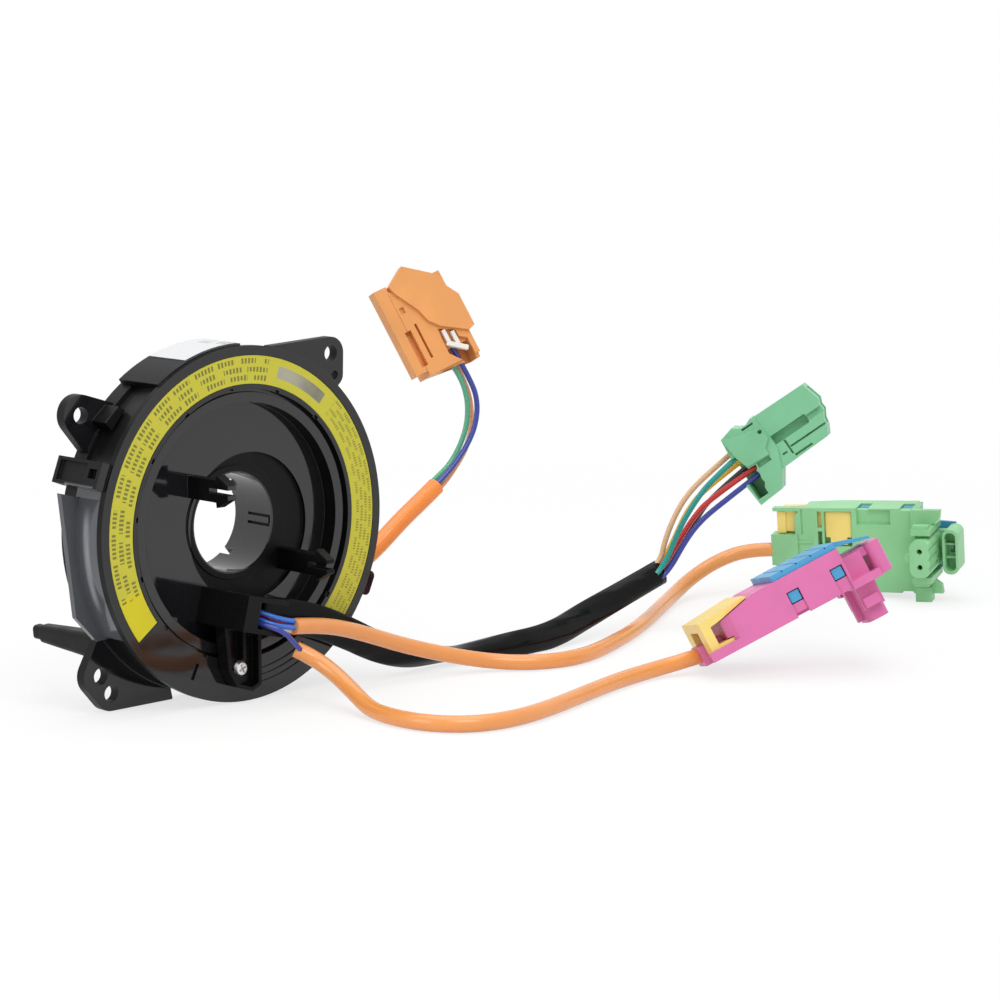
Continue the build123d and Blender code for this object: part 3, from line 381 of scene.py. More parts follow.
@dataclass(frozen=True)
class PolishedBlack:
    """Black moulding with polished faces, and eroded, matt walls and recesses painted darker as shade."""

    name: str
    colour: Colour = (0.009, 0.009, 0.0105)
    roughness: float = 0.07
    smudge: float = 0.16
    gleam: float = 0.62
    orange_peel: float = 0.0025 * MM
    # darker colour of the matt copy: painted shade
    matt_shade_colour: Colour = (0.0035, 0.0035, 0.004)
    matt_roughness: float = 0.42
    matt_smudge: float = 0.15
    matt_gleam: float = 0.16
    matt_grain: float = 0.02 * MM
    dust: float = 0.3
    dust_gap: float = 2.4 * MM
    dust_share: float = 0.03
    dust_grey: Colour = (0.35, 0.35, 0.37)
    dust_roughness: float = 0.3
    facing_front: tuple[float, float] = (0.55, 0.8)
    shaded_well: ShadedWell | None = None
    panel: Panel | None = None
    edge: float = 0.25 * MM

    def material(self) -> bpy.types.Material:
        """Write the material."""
        paint = Paint(self.name)
        place = paint.place()
        across, deep, up = paint.axis(place, "X"), paint.axis(place, "Y"), paint.axis(place, "Z")
        facing = paint.node("ShaderNodeTexCoord", {}, {}, "Normal")
        # faces across the shaft stay polished; walls take the matt copy, painted darker as shade
        polished = abs(paint.axis(facing, "Y")).rises(*self.facing_front)
        if self.shaded_well is not None:
            polished = self.shaded_well.polished(polished, across, up)
        smears = paint.noise(6.0 * MM, 5.0).rises(0.4, 0.8) * paint.noise(22.0 * MM).rises(0.4, 0.6)
        motes = paint.motes(self.dust_gap, self.dust_share)
        colour = paint.blend(shade(self.colour, 0.85), shade(self.colour, 1.2), paint.noise(16.0 * MM, 3.0))
        colour = paint.blend(colour, self.dust_grey, motes * self.dust)
        if self.panel is not None:
            side, painted_highlight = self.panel.masks(across, deep, up)
            polished = polished.most(side)
            # panel grey, partly painted reflection, then the lighter band as a painted highlight
            colour = paint.blend(colour, self.panel.grey_and_reflection, side * (0.75 + 0.25 * paint.noise(9.0 * MM)))
            colour = paint.blend(colour, self.panel.highlight_grey, painted_highlight * 0.85)
        rough = self.roughness + self.smudge * smears + self.dust_roughness * motes
        peel = paint.relief(paint.noise(0.4 * MM, 3.0), self.orange_peel, self.edge)
        bright = paint.principled(Base_Color=colour, Roughness=rough, Specular_IOR_Level=self.gleam,
                                  Normal=peel)
        # the matt copy is darker: painted shade on walls, recesses and the shade disc
        matt_shade = paint.blend(shade(self.matt_shade_colour, 0.8), shade(self.matt_shade_colour, 1.5), smears)
        grain = paint.relief(paint.noise(0.3 * MM, 3.0), self.matt_grain, self.edge)
        matt = paint.principled(Base_Color=matt_shade, Roughness=self.matt_roughness + self.matt_smudge * smears,
                                Specular_IOR_Level=self.matt_gleam, Normal=grain)
        return paint.end(paint.node("ShaderNodeMixShader", {}, {0: polished, 1: matt, 2: bright}))


@dataclass(frozen=True)
class CableSheath:
    """Extruded cable covering: soft gloss, a slightly wavy skin and a little rubbed-in dirt."""

    name: str
    colour: Colour
    roughness: float = 0.2
    dirt: float = 0.06
    dirt_roughness: float = 0.12
    gleam: float = 0.6
    wave_size: float = 2.2 * MM
    wave_depth: float = 0.015 * MM

    def material(self) -> bpy.types.Material:
        """Write the material."""
        paint = Paint(self.name)
        rubbed = paint.noise(12.0 * MM, 4.0).rises(0.4, 0.9)
        colour = paint.blend(self.colour, shade(self.colour, 1.0 - self.dirt), rubbed)
        wavy = paint.noise(self.wave_size, 2.0)
        return paint.surface(Base_Color=colour, Roughness=self.roughness + self.dirt_roughness * rubbed,
                             Specular_IOR_Level=self.gleam, Normal=paint.relief(wavy, self.wave_depth))


@dataclass(frozen=True)
class SoftSleeving:
    """Thin glossy black vinyl tube, creased where it is flattened and twisted."""

    name: str
    colour: Colour = (0.005, 0.005, 0.0055)
    roughness: float = 0.12
    gleam: float = 0.11
    crease_size: float = 4.5 * MM
    crease_stretch: float = 0.12
    crease_depth: float = 0.8 * MM
    pore_size: float = 0.5 * MM

    def material(self) -> bpy.types.Material:
        """Write the material."""
        paint = Paint(self.name)
        along = paint.node("ShaderNodeMapping", {},
                           {"Vector": paint.place(), "Scale": (self.crease_stretch, 1.0, 1.0)}, "Vector")
        creases = paint.noise(self.crease_size, 1.0, along)
        pores = paint.noise(self.pore_size, 2.0)
        colour = paint.blend(self.colour, shade(self.colour, 1.5), pores.rises(0.45, 0.7))
        return paint.surface(Base_Color=colour, Roughness=self.roughness + 0.1 * pores,
                             Specular_IOR_Level=self.gleam,
                             Normal=paint.relief(creases + 0.01 * pores, self.crease_depth))


@dataclass(frozen=True)
class BarRows:
    """Rows of word-long bars made of small plain strokes, on circles about the shaft."""

    radii: tuple[float, ...]
    sweep: tuple[float, float]
    half_height: float
    pitch: float
    strokes_in_word: float = 7.0

    def ink(self, paint: Paint, radius: Field, sweep: Field) -> Field:
        """Where the strokes are.

        Args:
            paint: The material being written.
            radius: Distance from the shaft's axis, in metres.
            sweep: Angle from the film's first end, in degrees.

        Returns:
            The mask of the ink.
        """
        mask: Field | None = None
        for number, row in enumerate(self.radii):
            along = sweep * (math.radians(1.0) * row / self.pitch)
            word = along / self.strokes_in_word + 0.37 * number
            length = paint.chance(word.floor() + 31.0 * number)
            in_word = (word.fract() - (0.6 + 0.3 * length)).falls(-0.01, 0.01)
            height = self.half_height * (0.72 + 0.28 * paint.chance(along.floor() + 57.0 * number))
            stroke = along.fract().within(0.12, 0.7, 0.08)
            line = (abs(radius - row) - height).falls(-0.05 * MM, 0.05 * MM)
            bar = in_word * stroke * line
            mask = bar if mask is None else mask.most(bar)
        return mask * sweep.within(*self.sweep, 0.4)


@dataclass(frozen=True)
class PrintedRing:
    """Yellow printed film: rows of plain bars where a notice stands, a grey patch and a bare end."""

    name: str
    yellow: Colour = (0.56, 0.52, 0.035)
    pure: Colour = (0.66, 0.57, 0.003)
    pure_until: tuple[float, float] = (16.0, 18.5)
    ink: Colour = (0.10, 0.095, 0.02)
    ink_cover: float = 0.8
    first_end: float = 217.5
    wide: BarRows = BarRows((47.6 * MM, 45.1 * MM, 42.7 * MM), (15.0, 139.0), 0.85 * MM, 1.25 * MM)
    fine: BarRows = BarRows((48.1 * MM, 46.5 * MM, 44.9 * MM, 43.3 * MM), (174.0, 262.0), 0.5 * MM, 0.8 * MM)
    patch: Colour = (0.28, 0.27, 0.22)
    patch_sweep: tuple[float, float] = (144.0, 168.5)
    patch_radii: tuple[float, float] = (43.4 * MM, 47.0 * MM)
    patch_fade: tuple[float, float] = (150.0, 164.0)

    def material(self) -> bpy.types.Material:
        """Write the material."""
        paint = Paint(self.name)
        place = paint.place()
        across, up = paint.axis(place, "X"), paint.axis(place, "Z")
        radius = across.distance(up)
        sweep = (self.first_end + FULL_TURN - up.turn_from(across)).modulo(FULL_TURN)
        ground = paint.blend(self.yellow, self.pure, sweep.falls(*self.pure_until))
        worn = paint.noise(6.0 * MM, 3.0).rises(0.5, 0.85)
        ground = paint.blend(ground, shade(self.yellow, 0.86), worn * 0.5)
        smear = sweep.within(*self.patch_sweep, 0.3) * radius.within(*self.patch_radii, 0.15 * MM)
        smear = smear * (0.88 + 0.12 * paint.noise(2.5 * MM).rises(0.35, 0.65))
        film = paint.blend(shade(self.patch, 1.35), shade(self.patch, 0.7), sweep.rises(*self.patch_fade))
        ground = paint.blend(ground, film, smear)
        bars = self.wide.ink(paint, radius, sweep).most(self.fine.ink(paint, radius, sweep) * self.ink_cover)
        colour = paint.blend(ground, self.ink, bars * self.ink_cover)
        return paint.surface(Base_Color=colour, Roughness=0.42 + 0.15 * paint.noise(4.0 * MM, 3.0),
                             Normal=paint.relief(paint.noise(0.7 * MM), 0.01 * MM))


@dataclass(frozen=True)
class PaperSticker:
    """White paper sticker with a few plain bars and lines."""

    name: str
    paper: Colour = (0.66, 0.67, 0.68)
    ink: Colour = (0.10, 0.10, 0.11)
    bar_pitch: float = 0.9 * MM
    bar_place: tuple[float, float] = (-6.0 * MM, 7.0 * MM)
    bar_depth: tuple[float, float] = (-9.5 * MM, -4.5 * MM)
    line_pitch: float = 2.2 * MM
    line_place: tuple[float, float] = (-5.0 * MM, 3.0 * MM)
    line_depth: tuple[float, float] = (-15.0 * MM, -10.5 * MM)
    soft: float = 0.1 * MM

    def material(self) -> bpy.types.Material:
        """Write the material."""
        paint = Paint(self.name)
        place = paint.place()
        across, deep = paint.axis(place, "X"), paint.axis(place, "Y")
        cell = across * (1.0 / self.bar_pitch)
        bars = (cell.fract() - 0.75 * paint.chance(cell.floor())).falls(-0.05, 0.05)
        bars = bars * deep.within(*self.bar_depth, self.soft) * across.within(*self.bar_place, self.soft)
        lines = (deep * (1.0 / self.line_pitch)).fract().within(0.2, 0.6, 0.05)
        lines = lines * deep.within(*self.line_depth, self.soft) * across.within(*self.line_place, self.soft)
        colour = paint.blend(self.paper, self.ink, bars.most(lines) * 0.75)
        return paint.surface(Base_Color=colour, Roughness=0.55 + 0.1 * paint.noise(3.0 * MM),
                             Normal=paint.relief(paint.noise(0.3 * MM), 0.01 * MM))


@dataclass(frozen=True)
class PlatedSteel:
    """Bright zinc plate with a slightly rough, cloudy skin."""

    name: str
    dark: Colour = (0.72, 0.72, 0.73)
    light: Colour = (0.90, 0.90, 0.91)
    roughness: float = 0.3
    skin_depth: float = 0.03 * MM

    def material(self) -> bpy.types.Material:
        """Write the material."""
        paint = Paint(self.name)
        cloud = paint.noise(0.8 * MM, 4.0)
        colour = paint.blend(self.dark, self.light, cloud)
        return paint.surface(Base_Color=colour, Metallic=1.0, Roughness=self.roughness + 0.2 * cloud,
                             Normal=paint.relief(paint.noise(0.25 * MM), self.skin_depth))


# ---------------------------------------------------------------- colours of the object
class Plastic(Enum):
    """Moulded plastics by the pieces that they make."""

    HOUSING = PolishedBlack("moulded_housing_black", gleam=0.5)
    # the wall panel carries painted reflection and a painted highlight band
    COVER = PolishedBlack("moulded_cover_black", gleam=0.5, panel=Panel((163.0, 216.0)))
    EXIT_BOX = MouldedPlastic("moulded_exit_black", (0.005, 0.005, 0.0055), roughness=0.22, smudge=0.1,
                              dust=0.4, grain_depth=0.004 * MM, gleam=0.14)
    # painted shade disc round the rotor's bore
    ROTOR = PolishedBlack("moulded_rotor_black", shaded_well=ShadedWell(6.0 * MM, -2.0 * MM, 22.0 * MM))
    GREEN = MouldedPlastic("moulded_squib_green", (0.27, 0.60, 0.30), roughness=0.36)
    PINK = MouldedPlastic("moulded_squib_pink", (0.68, 0.165, 0.39), roughness=0.34)
    BLUE = MouldedPlastic("moulded_carrier_blue", (0.075, 0.34, 0.60), roughness=0.36)
    YELLOW = MouldedPlastic("moulded_lock_yellow", (0.91, 0.69, 0.20), roughness=0.36)
    SIX_WAY = MouldedPlastic("moulded_six_way_green", (0.208, 0.545, 0.303), roughness=0.36)
    CAP_ORANGE = MouldedPlastic("moulded_cap_orange", (0.76, 0.325, 0.098), roughness=0.42)
    LOCK_WHITE = MouldedPlastic("moulded_lock_white", (0.82, 0.78, 0.72), roughness=0.42)
    RIBBON = MouldedPlastic("ribbon_film", (0.55, 0.5, 0.4), roughness=0.3)


class Covering(Enum):
    """Cable coverings by colour."""

    ORANGE = CableSheath("sheath_orange", (0.83, 0.32, 0.085))
    BRIGHT_ORANGE = CableSheath("sheath_bright_orange", (0.95, 0.27, 0.03))
    TAN = CableSheath("wire_tan", (0.72, 0.45, 0.25))
    YELLOW = CableSheath("wire_yellow", (0.90, 0.55, 0.02))
    TEAL = CableSheath("wire_teal", (0.0, 0.28, 0.24))
    RED = CableSheath("wire_red", (0.66, 0.03, 0.03))
    BLACK = CableSheath("wire_black", (0.02, 0.02, 0.02))
    NAVY = CableSheath("wire_navy", (0.03, 0.05, 0.32))
    MINT = CableSheath("wire_mint", (0.10, 0.42, 0.24))
    WHITE = CableSheath("wire_white", (0.80, 0.80, 0.78))
    DULL_ORANGE = CableSheath("wire_dull_orange", (0.75, 0.33, 0.16))
    BLUE = CableSheath("wire_blue", (0.04, 0.17, 0.66))


# ---------------------------------------------------------------- cords
@dataclass(frozen=True)
class Route:
    """One cord: the points it follows, its size, what it ends in and how it is covered."""

    node: str
    body: str
    radius: float
    length: float
    covering: Covering
    ends_in: tuple[str, ...]
    points: tuple[Point, ...]
    stiffness: str = "medium"
    lay: str = "loose"


HARNESS_RADIUS = 0.9 * MM
STATOR_RADIUS = 0.85 * MM
SHEATH_RADIUS = 2.425 * MM
GREEN_PLUG = ("green_squib_housing", "green_squib_carrier", "green_squib_lock")
PINK_PLUG = ("pink_squib_housing", "pink_squib_carrier", "pink_squib_lock")
SIX_WAY = ("six_way_connector",)
STATOR_PLUG = ("stator_connector_housing", "stator_connector_lock")

SQUIB_SHEATHS = (
    Route("orange_sheath_upper", "rotor", SHEATH_RADIUS, 0.2700, Covering.ORANGE, GREEN_PLUG, (
        (0.0052, -0.0330, -0.0287), (0.0134, -0.0320, -0.0296), (0.0242, -0.0305, -0.0317),
        (0.0357, -0.0295, -0.0353), (0.0505, -0.0290, -0.0407), (0.0654, -0.0310, -0.0453),
        (0.0815, -0.0365, -0.0492), (0.0920, -0.0465, -0.0495), (0.1095, -0.0490, -0.0495),
        (0.1393, -0.0358, -0.0495), (0.1630, -0.0225, -0.0495), (0.1840, -0.0089, -0.0495),
        (0.2030, 0.0031, -0.0493), (0.2190, 0.0090, -0.0455), (0.2315, 0.0079, -0.0407),
        (0.2413, 0.0024, -0.0375), (0.2479, -0.0053, -0.0374))),
    Route("orange_sheath_lower", "rotor", SHEATH_RADIUS, 0.1825, Covering.ORANGE, PINK_PLUG, (
        (0.0062, -0.0330, -0.0355), (0.0098, -0.0365, -0.0379), (0.0116, -0.0435, -0.0416),
        (0.0114, -0.0520, -0.0458), (0.0094, -0.0615, -0.0493), (0.0074, -0.0740, -0.0495),
        (0.0094, -0.0865, -0.0495), (0.0170, -0.0956, -0.0495), (0.0300, -0.0986, -0.0495),
        (0.0470, -0.0956, -0.0495), (0.0707, -0.0877, -0.0495), (0.0900, -0.0817, -0.0495),
        (0.1050, -0.0785, -0.0495), (0.1170, -0.0796, -0.0484), (0.1261, -0.0837, -0.0461))),
)
STATOR_SHEATH = Route("stator_sheath", "housing", 2.85 * MM, 0.0512, Covering.BRIGHT_ORANGE, STATOR_PLUG, (
    (0.0510, 0.0048, -0.0256), (0.0600, 0.0044, -0.0234), (0.0694, 0.0040, -0.0184),
    (0.0805, 0.0040, -0.0103), (0.0889, 0.0040, -0.0052), (0.0957, 0.0040, -0.0008)), "medium", "taut")
BLACK_SLEEVE_POINTS: tuple[Point, ...] = (
    (0.0024, -0.0223, -0.0259), (0.0180, -0.0236, -0.0289), (0.0337, -0.0233, -0.0354),
    (0.0465, -0.0220, -0.0417), (0.0605, -0.0213, -0.0464), (0.0750, -0.0210, -0.0485),
    (0.0905, -0.0222, -0.0485), (0.1045, -0.0252, -0.0484), (0.1210, -0.0238, -0.0476),
    (0.1375, -0.0199, -0.0446), (0.1555, -0.0182, -0.0404), (0.1728, -0.0200, -0.0344))
HARNESS_WIRES = (
    Route("wire_tan", "rotor", HARNESS_RADIUS, 0.0535, Covering.TAN, SIX_WAY, (
        (0.1693, -0.0189, -0.0333), (0.1732, -0.0195, -0.0316), (0.1749, -0.0203, -0.0237),
        (0.1776, -0.0220, -0.0159), (0.1812, -0.0239, -0.0095), (0.1864, -0.0274, -0.0031),
        (0.1978, -0.0361, 0.0090)), "stiff"),
    Route("wire_yellow", "rotor", HARNESS_RADIUS, 0.054, Covering.YELLOW, SIX_WAY, (
        (0.1703, -0.0173, -0.0354), (0.1741, -0.0178, -0.0337), (0.1786, -0.0196, -0.0262),
        (0.1824, -0.0224, -0.0154), (0.1868, -0.0266, -0.0075), (0.1982, -0.0387, 0.0052)), "stiff"),
    Route("wire_teal", "rotor", HARNESS_RADIUS, 0.053, Covering.TEAL, SIX_WAY, (
        (0.1694, -0.0215, -0.0345), (0.1730, -0.0222, -0.0316), (0.1759, -0.0256, -0.0196),
        (0.1796, -0.0294, -0.0104), (0.1833, -0.0329, -0.0038), (0.1951, -0.0393, 0.0075)), "stiff"),
    Route("wire_red", "rotor", HARNESS_RADIUS, 0.052, Covering.RED, SIX_WAY, (
        (0.1700, -0.0196, -0.0354), (0.1739, -0.0202, -0.0334), (0.1789, -0.0231, -0.0238),
        (0.1821, -0.0262, -0.0166), (0.1858, -0.0298, -0.0106), (0.1974, -0.0421, 0.0015)), "stiff"),
    Route("wire_black", "rotor", HARNESS_RADIUS, 0.055, Covering.BLACK, SIX_WAY, (
        (0.1709, -0.0190, -0.0375), (0.1749, -0.0194, -0.0356), (0.1815, -0.0196, -0.0278),
        (0.1868, -0.0222, -0.0192), (0.1900, -0.0264, -0.0106), (0.1985, -0.0401, 0.0033)), "stiff"),
    Route("wire_navy", "rotor", HARNESS_RADIUS, 0.051, Covering.NAVY, SIX_WAY, (
        (0.1702, -0.0215, -0.0367), (0.1741, -0.0223, -0.0346), (0.1788, -0.0260, -0.0236),
        (0.1821, -0.0294, -0.0174), (0.1866, -0.0341, -0.0118), (0.1981, -0.0432, -0.0005)), "stiff"),
)
STATOR_WIRES = (
    Route("stator_wire_green", "housing", STATOR_RADIUS, 0.053, Covering.MINT, STATOR_PLUG, (
        (0.0933, 0.0052, -0.0008), (0.0966, 0.0052, 0.0013), (0.1024, 0.0049, 0.0051),
        (0.1070, 0.0044, 0.0115), (0.1094, 0.0040, 0.0184), (0.1094, 0.0040, 0.0259),
        (0.1061, 0.0042, 0.0337), (0.1004, 0.0065, 0.0426)), "stiff"),
    Route("stator_wire_blue", "housing", STATOR_RADIUS, 0.053, Covering.NAVY, STATOR_PLUG, (
        (0.0935, 0.0027, -0.0009), (0.0964, 0.0026, 0.0010), (0.1014, 0.0016, 0.0056),
        (0.1066, 0.0010, 0.0116), (0.1099, 0.0008, 0.0176), (0.1109, 0.0009, 0.0245),
        (0.1094, 0.0020, 0.0312), (0.1035, 0.0053, 0.0429)), "stiff"),
    Route("stator_wire_white", "housing", STATOR_RADIUS, 0.061, Covering.WHITE, STATOR_PLUG, (
        (0.0946, 0.0059, -0.0031), (0.0996, 0.0063, -0.0004), (0.1070, 0.0076, 0.0030),
        (0.1132, 0.0089, 0.0088), (0.1160, 0.0090, 0.0166), (0.1149, 0.0090, 0.0244),
        (0.1112, 0.0086, 0.0320), (0.1015, 0.0091, 0.0420)), "stiff"),
    Route("stator_wire_orange", "housing", STATOR_RADIUS, 0.055, Covering.DULL_ORANGE, STATOR_PLUG, (
        (0.0946, 0.0033, -0.0029), (0.0994, 0.0038, 0.0000), (0.1056, 0.0052, 0.0046),
        (0.1110, 0.0060, 0.0099), (0.1135, 0.0063, 0.0166), (0.1130, 0.0064, 0.0246),
        (0.1102, 0.0063, 0.0310), (0.1046, 0.0079, 0.0422)), "stiff"),
)
# share of the sleeve's length, width and thickness there in millimetres
SLEEVE_SECTIONS = ((0.0, 10.4, 2.4), (0.25, 9.6, 3.0), (0.42, 8.2, 4.4), (0.56, 7.6, 5.2), (0.66, 8.6, 3.8),
                   (0.85, 8.8, 4.2), (1.0, 8.2, 5.2))
# size of each ring inside the sleeve's cut end against its last one, and how deep it lies
CUT_END_RINGS = ((0.84, 0.0), (0.82, 3.0 * MM), (0.80, 7.0 * MM))


def add_object(name: str, data: bpy.types.ID) -> bpy.types.Object:
    """Put new data into the scene.

    Args:
        name: The new object's name.
        data: Its curve, mesh, lamp or camera.

    Returns:
        The object.
    """
    made = bpy.data.objects.new(name, data)
    bpy.context.scene.collection.objects.link(made)
    return made


def eased(step: float) -> float:
    """A step from 0 to 1 that starts and ends gently."""
    return step * step * (3.0 - 2.0 * step)


def smooth_line(name: str, points: Sequence[Point], radius: float) -> bpy.types.Object:
    """A smooth line through space, thick if it has a radius.

    Args:
        name: The new object's name.
        points: The points that it follows.
        radius: Its radius in metres, 0 for a bare line.

    Returns:
        The curve object.
    """
    curve = bpy.data.curves.new(name, "CURVE")
    curve.dimensions = "3D"
    curve.resolution_u = 10
    curve.bevel_depth = radius
    curve.bevel_resolution = 5
    curve.use_fill_caps = True
    spline = curve.splines.new("NURBS")
    spline.points.add(len(points) - 1)
    for target, point in zip(spline.points, points):
        target.co = (*point, 1.0)
    spline.order_u = 3
    spline.use_endpoint_u = True
    return add_object(name, curve)


def follow(points: Sequence[Point]) -> list[Vector]:
    """Places along the smooth line of a route.

    Args:
        points: The route's points.

    Returns:
        Evenly dense places on the line.
    """
    line = smooth_line("guide_line", points, 0.0)
    line.data.resolution_u = 16
    bpy.context.view_layer.update()
    mesh = bpy.data.meshes.new_from_object(line)
    places = [vertex.co.copy() for vertex in mesh.vertices]
    bpy.data.objects.remove(line)
    bpy.data.meshes.remove(mesh)
    return places


@dataclass
class Cords:
    """Sheathed cables and wires that run from the drum to their connectors."""

    sleeve_width: float = 8.6 * MM
    flat_towards: Point = (-0.6838, -0.7142, 0.1496)
    rest_height: float = -51.8 * MM
    around: int = 28
    lens_power: float = 0.35
    twist_from: float = 0.3
    twist_over: float = 0.38

    def build(self) -> None:
        """Make every cord."""
        for route in (*SQUIB_SHEATHS, STATOR_SHEATH, *HARNESS_WIRES, *STATOR_WIRES):
            self._round_cord(route)
        self._flat_sleeve()

    def _round_cord(self, route: Route) -> None:
        """One round cord as a thick smooth line.

        Args:
            route: The cord.
        """
        cord = smooth_line(route.node + "_soft", route.points, route.radius)
        cord.data.materials.append(finish(route.covering))
        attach(cord, route.body)
        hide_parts(route.node)
        log.info("cord %s, %.0f mm", route.node, route.length / MM)

    def _flat_sleeve(self) -> None:
        """The black sleeve: a flattened tube that turns over once on its way and has an open end."""
        path = follow(BLACK_SLEEVE_POINTS)
        around = self.around
        vertices = [spot for index in range(len(path)) for spot in self._ring(path, index)]
        faces = [(ring * around + step, ring * around + (step + 1) % around,
                  (ring + 1) * around + (step + 1) % around, (ring + 1) * around + step)
                 for ring in range(len(path) - 1) for step in range(around)]
        faces.append(tuple(reversed(range(around))))
        self._hollow_end(path, vertices, faces)
        mesh = bpy.data.meshes.new("black_sleeve_soft")
        mesh.from_pydata(vertices, [], faces)
        mesh.shade_smooth()
        sleeve = add_object("black_sleeve_soft", mesh)
        mesh.materials.append(finish(Special.SLEEVING))
        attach(sleeve, "rotor")
        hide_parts("black_sleeve")

    def _ring(self, path: Sequence[Vector], index: int) -> list[Vector]:
        """Points round the sleeve at one place, none of them below the table.

        Args:
            path: The sleeve's middle line.
            index: Which place on it.

        Returns:
            The ring's points.
        """
        last = len(path) - 1
        share = index / last
        ahead = (path[min(index + 1, last)] - path[max(index - 1, 0)]).normalized()
        face_on = Vector(self.flat_towards).cross(ahead).normalized()
        wide = Matrix.Rotation(self._twist(share), 3, ahead) @ face_on
        thin = ahead.cross(wide)
        half_wide, half_thin = self._half_sizes(share)
        ring: list[Vector] = []
        for step in range(self.around):
            angle = 2.0 * math.pi * step / self.around
            lens = math.sin(angle) * abs(math.sin(angle)) ** self.lens_power
            spot = path[index] + wide * (half_wide * math.cos(angle)) + thin * (half_thin * lens)
            spot.z = max(spot.z, self.rest_height)
            ring.append(spot)
        return ring

    def _hollow_end(self, path: Sequence[Vector], vertices: list[Vector],
                    faces: list[tuple[int, ...]]) -> None:
        """Turn the far end inward, so that it reads as a cut tube.

        Args:
            path: The tube's middle line.
            vertices: The tube's points, which grow.
            faces: The tube's faces, which grow.
        """
        around = self.around
        last = len(vertices) - around
        back = (path[-2] - path[-1]).normalized()
        middle = path[-1]
        for ring, (shrink, depth) in enumerate(CUT_END_RINGS):
            vertices.extend([middle + (vertices[last + step] - middle) * shrink + back * depth
                             for step in range(around)])
            first = last + ring * around
            faces.extend((first + step, first + (step + 1) % around, first + around + (step + 1) % around,
                          first + around + step) for step in range(around))
        faces.append(tuple(range(len(vertices) - around, len(vertices))))

    @staticmethod
    def _half_sizes(share: float) -> tuple[float, float]:
        """Half width and half thickness of the sleeve.

        Args:
            share: Place along it, 0 to 1.

        Returns:
            Half width and half thickness in metres.
        """
        for (low, wide_a, thick_a), (high, wide_b, thick_b) in zip(SLEEVE_SECTIONS, SLEEVE_SECTIONS[1:]):
            if share <= high:
                break
        step = eased((share - low) / (high - low))
        wide, thick = wide_a + (wide_b - wide_a) * step, thick_a + (thick_b - thick_a) * step
        return wide * 0.5 * MM, thick * 0.5 * MM

    def _twist(self, share: float) -> float:
        """Turn of the sleeve's width about its line.

        Args:
            share: Place along it, 0 to 1.

        Returns:
            The turn in radians.
        """
        return math.pi * eased(min(1.0, max(0.0, (share - self.twist_from) / self.twist_over)))


# ---------------------------------------------------------------- CAD pieces and their finishes
class Special(Enum):
    """Finishes that one piece has."""

    SLEEVING = SoftSleeving("black_sleeving")
    RING = PrintedRing("printed_ring")
    STICKER = PaperSticker("paper_sticker")
    SCREW = PlatedSteel("plated_screw")


Finish = Plastic | Covering | Special
MADE: dict[Finish, bpy.types.Material] = {}


def finish(choice: Finish) -> bpy.types.Material:
    """The material of a finish, written once.

    Args:
        choice: The finish.

    Returns:
        Its material.
    """
    if choice not in MADE:
        MADE[choice] = choice.value.material()
    return MADE[choice]


def dress(node: str, choice: Finish) -> None:
    """Give a rigid part its finish.

    Args:
        node: The part's name.
        choice: The finish.
    """
    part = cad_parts[node]
    part.data.materials.clear()
    part.data.materials.append(finish(choice))
    log.info("part %s in %s", node, choice.name.lower())


@dataclass(frozen=True)
class SnapPost:
    """Forked snap post: a flat bar with two prongs and a barb on each."""

    x: tuple[float, float] = (18.0 * MM, 21.0 * MM)
    z: tuple[float, float] = (-16.0 * MM, -9.6 * MM)
    base: float = -11.0 * MM
    tip: float = -33.5 * MM
    barb_long: float = 5.4 * MM
    barb_out: float = 1.5 * MM
    barb_slope: float = 0.3 * MM
    tip_half: float = 2.0 * MM
    slot_half: float = 0.8 * MM
    slot_past_barb: float = 3.0 * MM
    edge: float = 0.2 * MM

    def outline(self) -> tuple[tuple[float, float], ...]:
        """Outline seen along X, as points (y, z)."""
        low, high = self.z
        middle = (low + high) / 2.0
        barb = self.tip + self.barb_long
        slot = barb + self.slot_past_barb
        return ((self.base, low), (self.base, high), (barb, high),
                (barb - self.barb_slope, high + self.barb_out),
                (self.tip, middle + self.tip_half), (self.tip, middle + self.slot_half),
                (slot, middle + self.slot_half), (slot, middle - self.slot_half),
                (self.tip, middle - self.slot_half), (self.tip, middle - self.tip_half),
                (barb - self.barb_slope, low - self.barb_out), (barb, low))

    def build(self, name: str) -> bpy.types.Object:
        """Make the post.

        Args:
            name: Its name.

        Returns:
            The post, without a finish.
        """
        mesh = bpy.data.meshes.new(name)
        build = bmesh.new()
        near = build.faces.new([build.verts.new((self.x[0], y, z)) for y, z in self.outline()])
        grown = bmesh.ops.extrude_face_region(build, geom=[near])
        moved = [item for item in grown["geom"] if isinstance(item, bmesh.types.BMVert)]
        bmesh.ops.translate(build, verts=moved, vec=(self.x[1] - self.x[0], 0.0, 0.0))
        bmesh.ops.recalc_face_normals(build, faces=build.faces[:])
        build.to_mesh(mesh)
        build.free()
        post = add_object(name, mesh)
        edges = post.modifiers.new("edges", "BEVEL")
        edges.width = self.edge
        edges.segments = 2
        return post


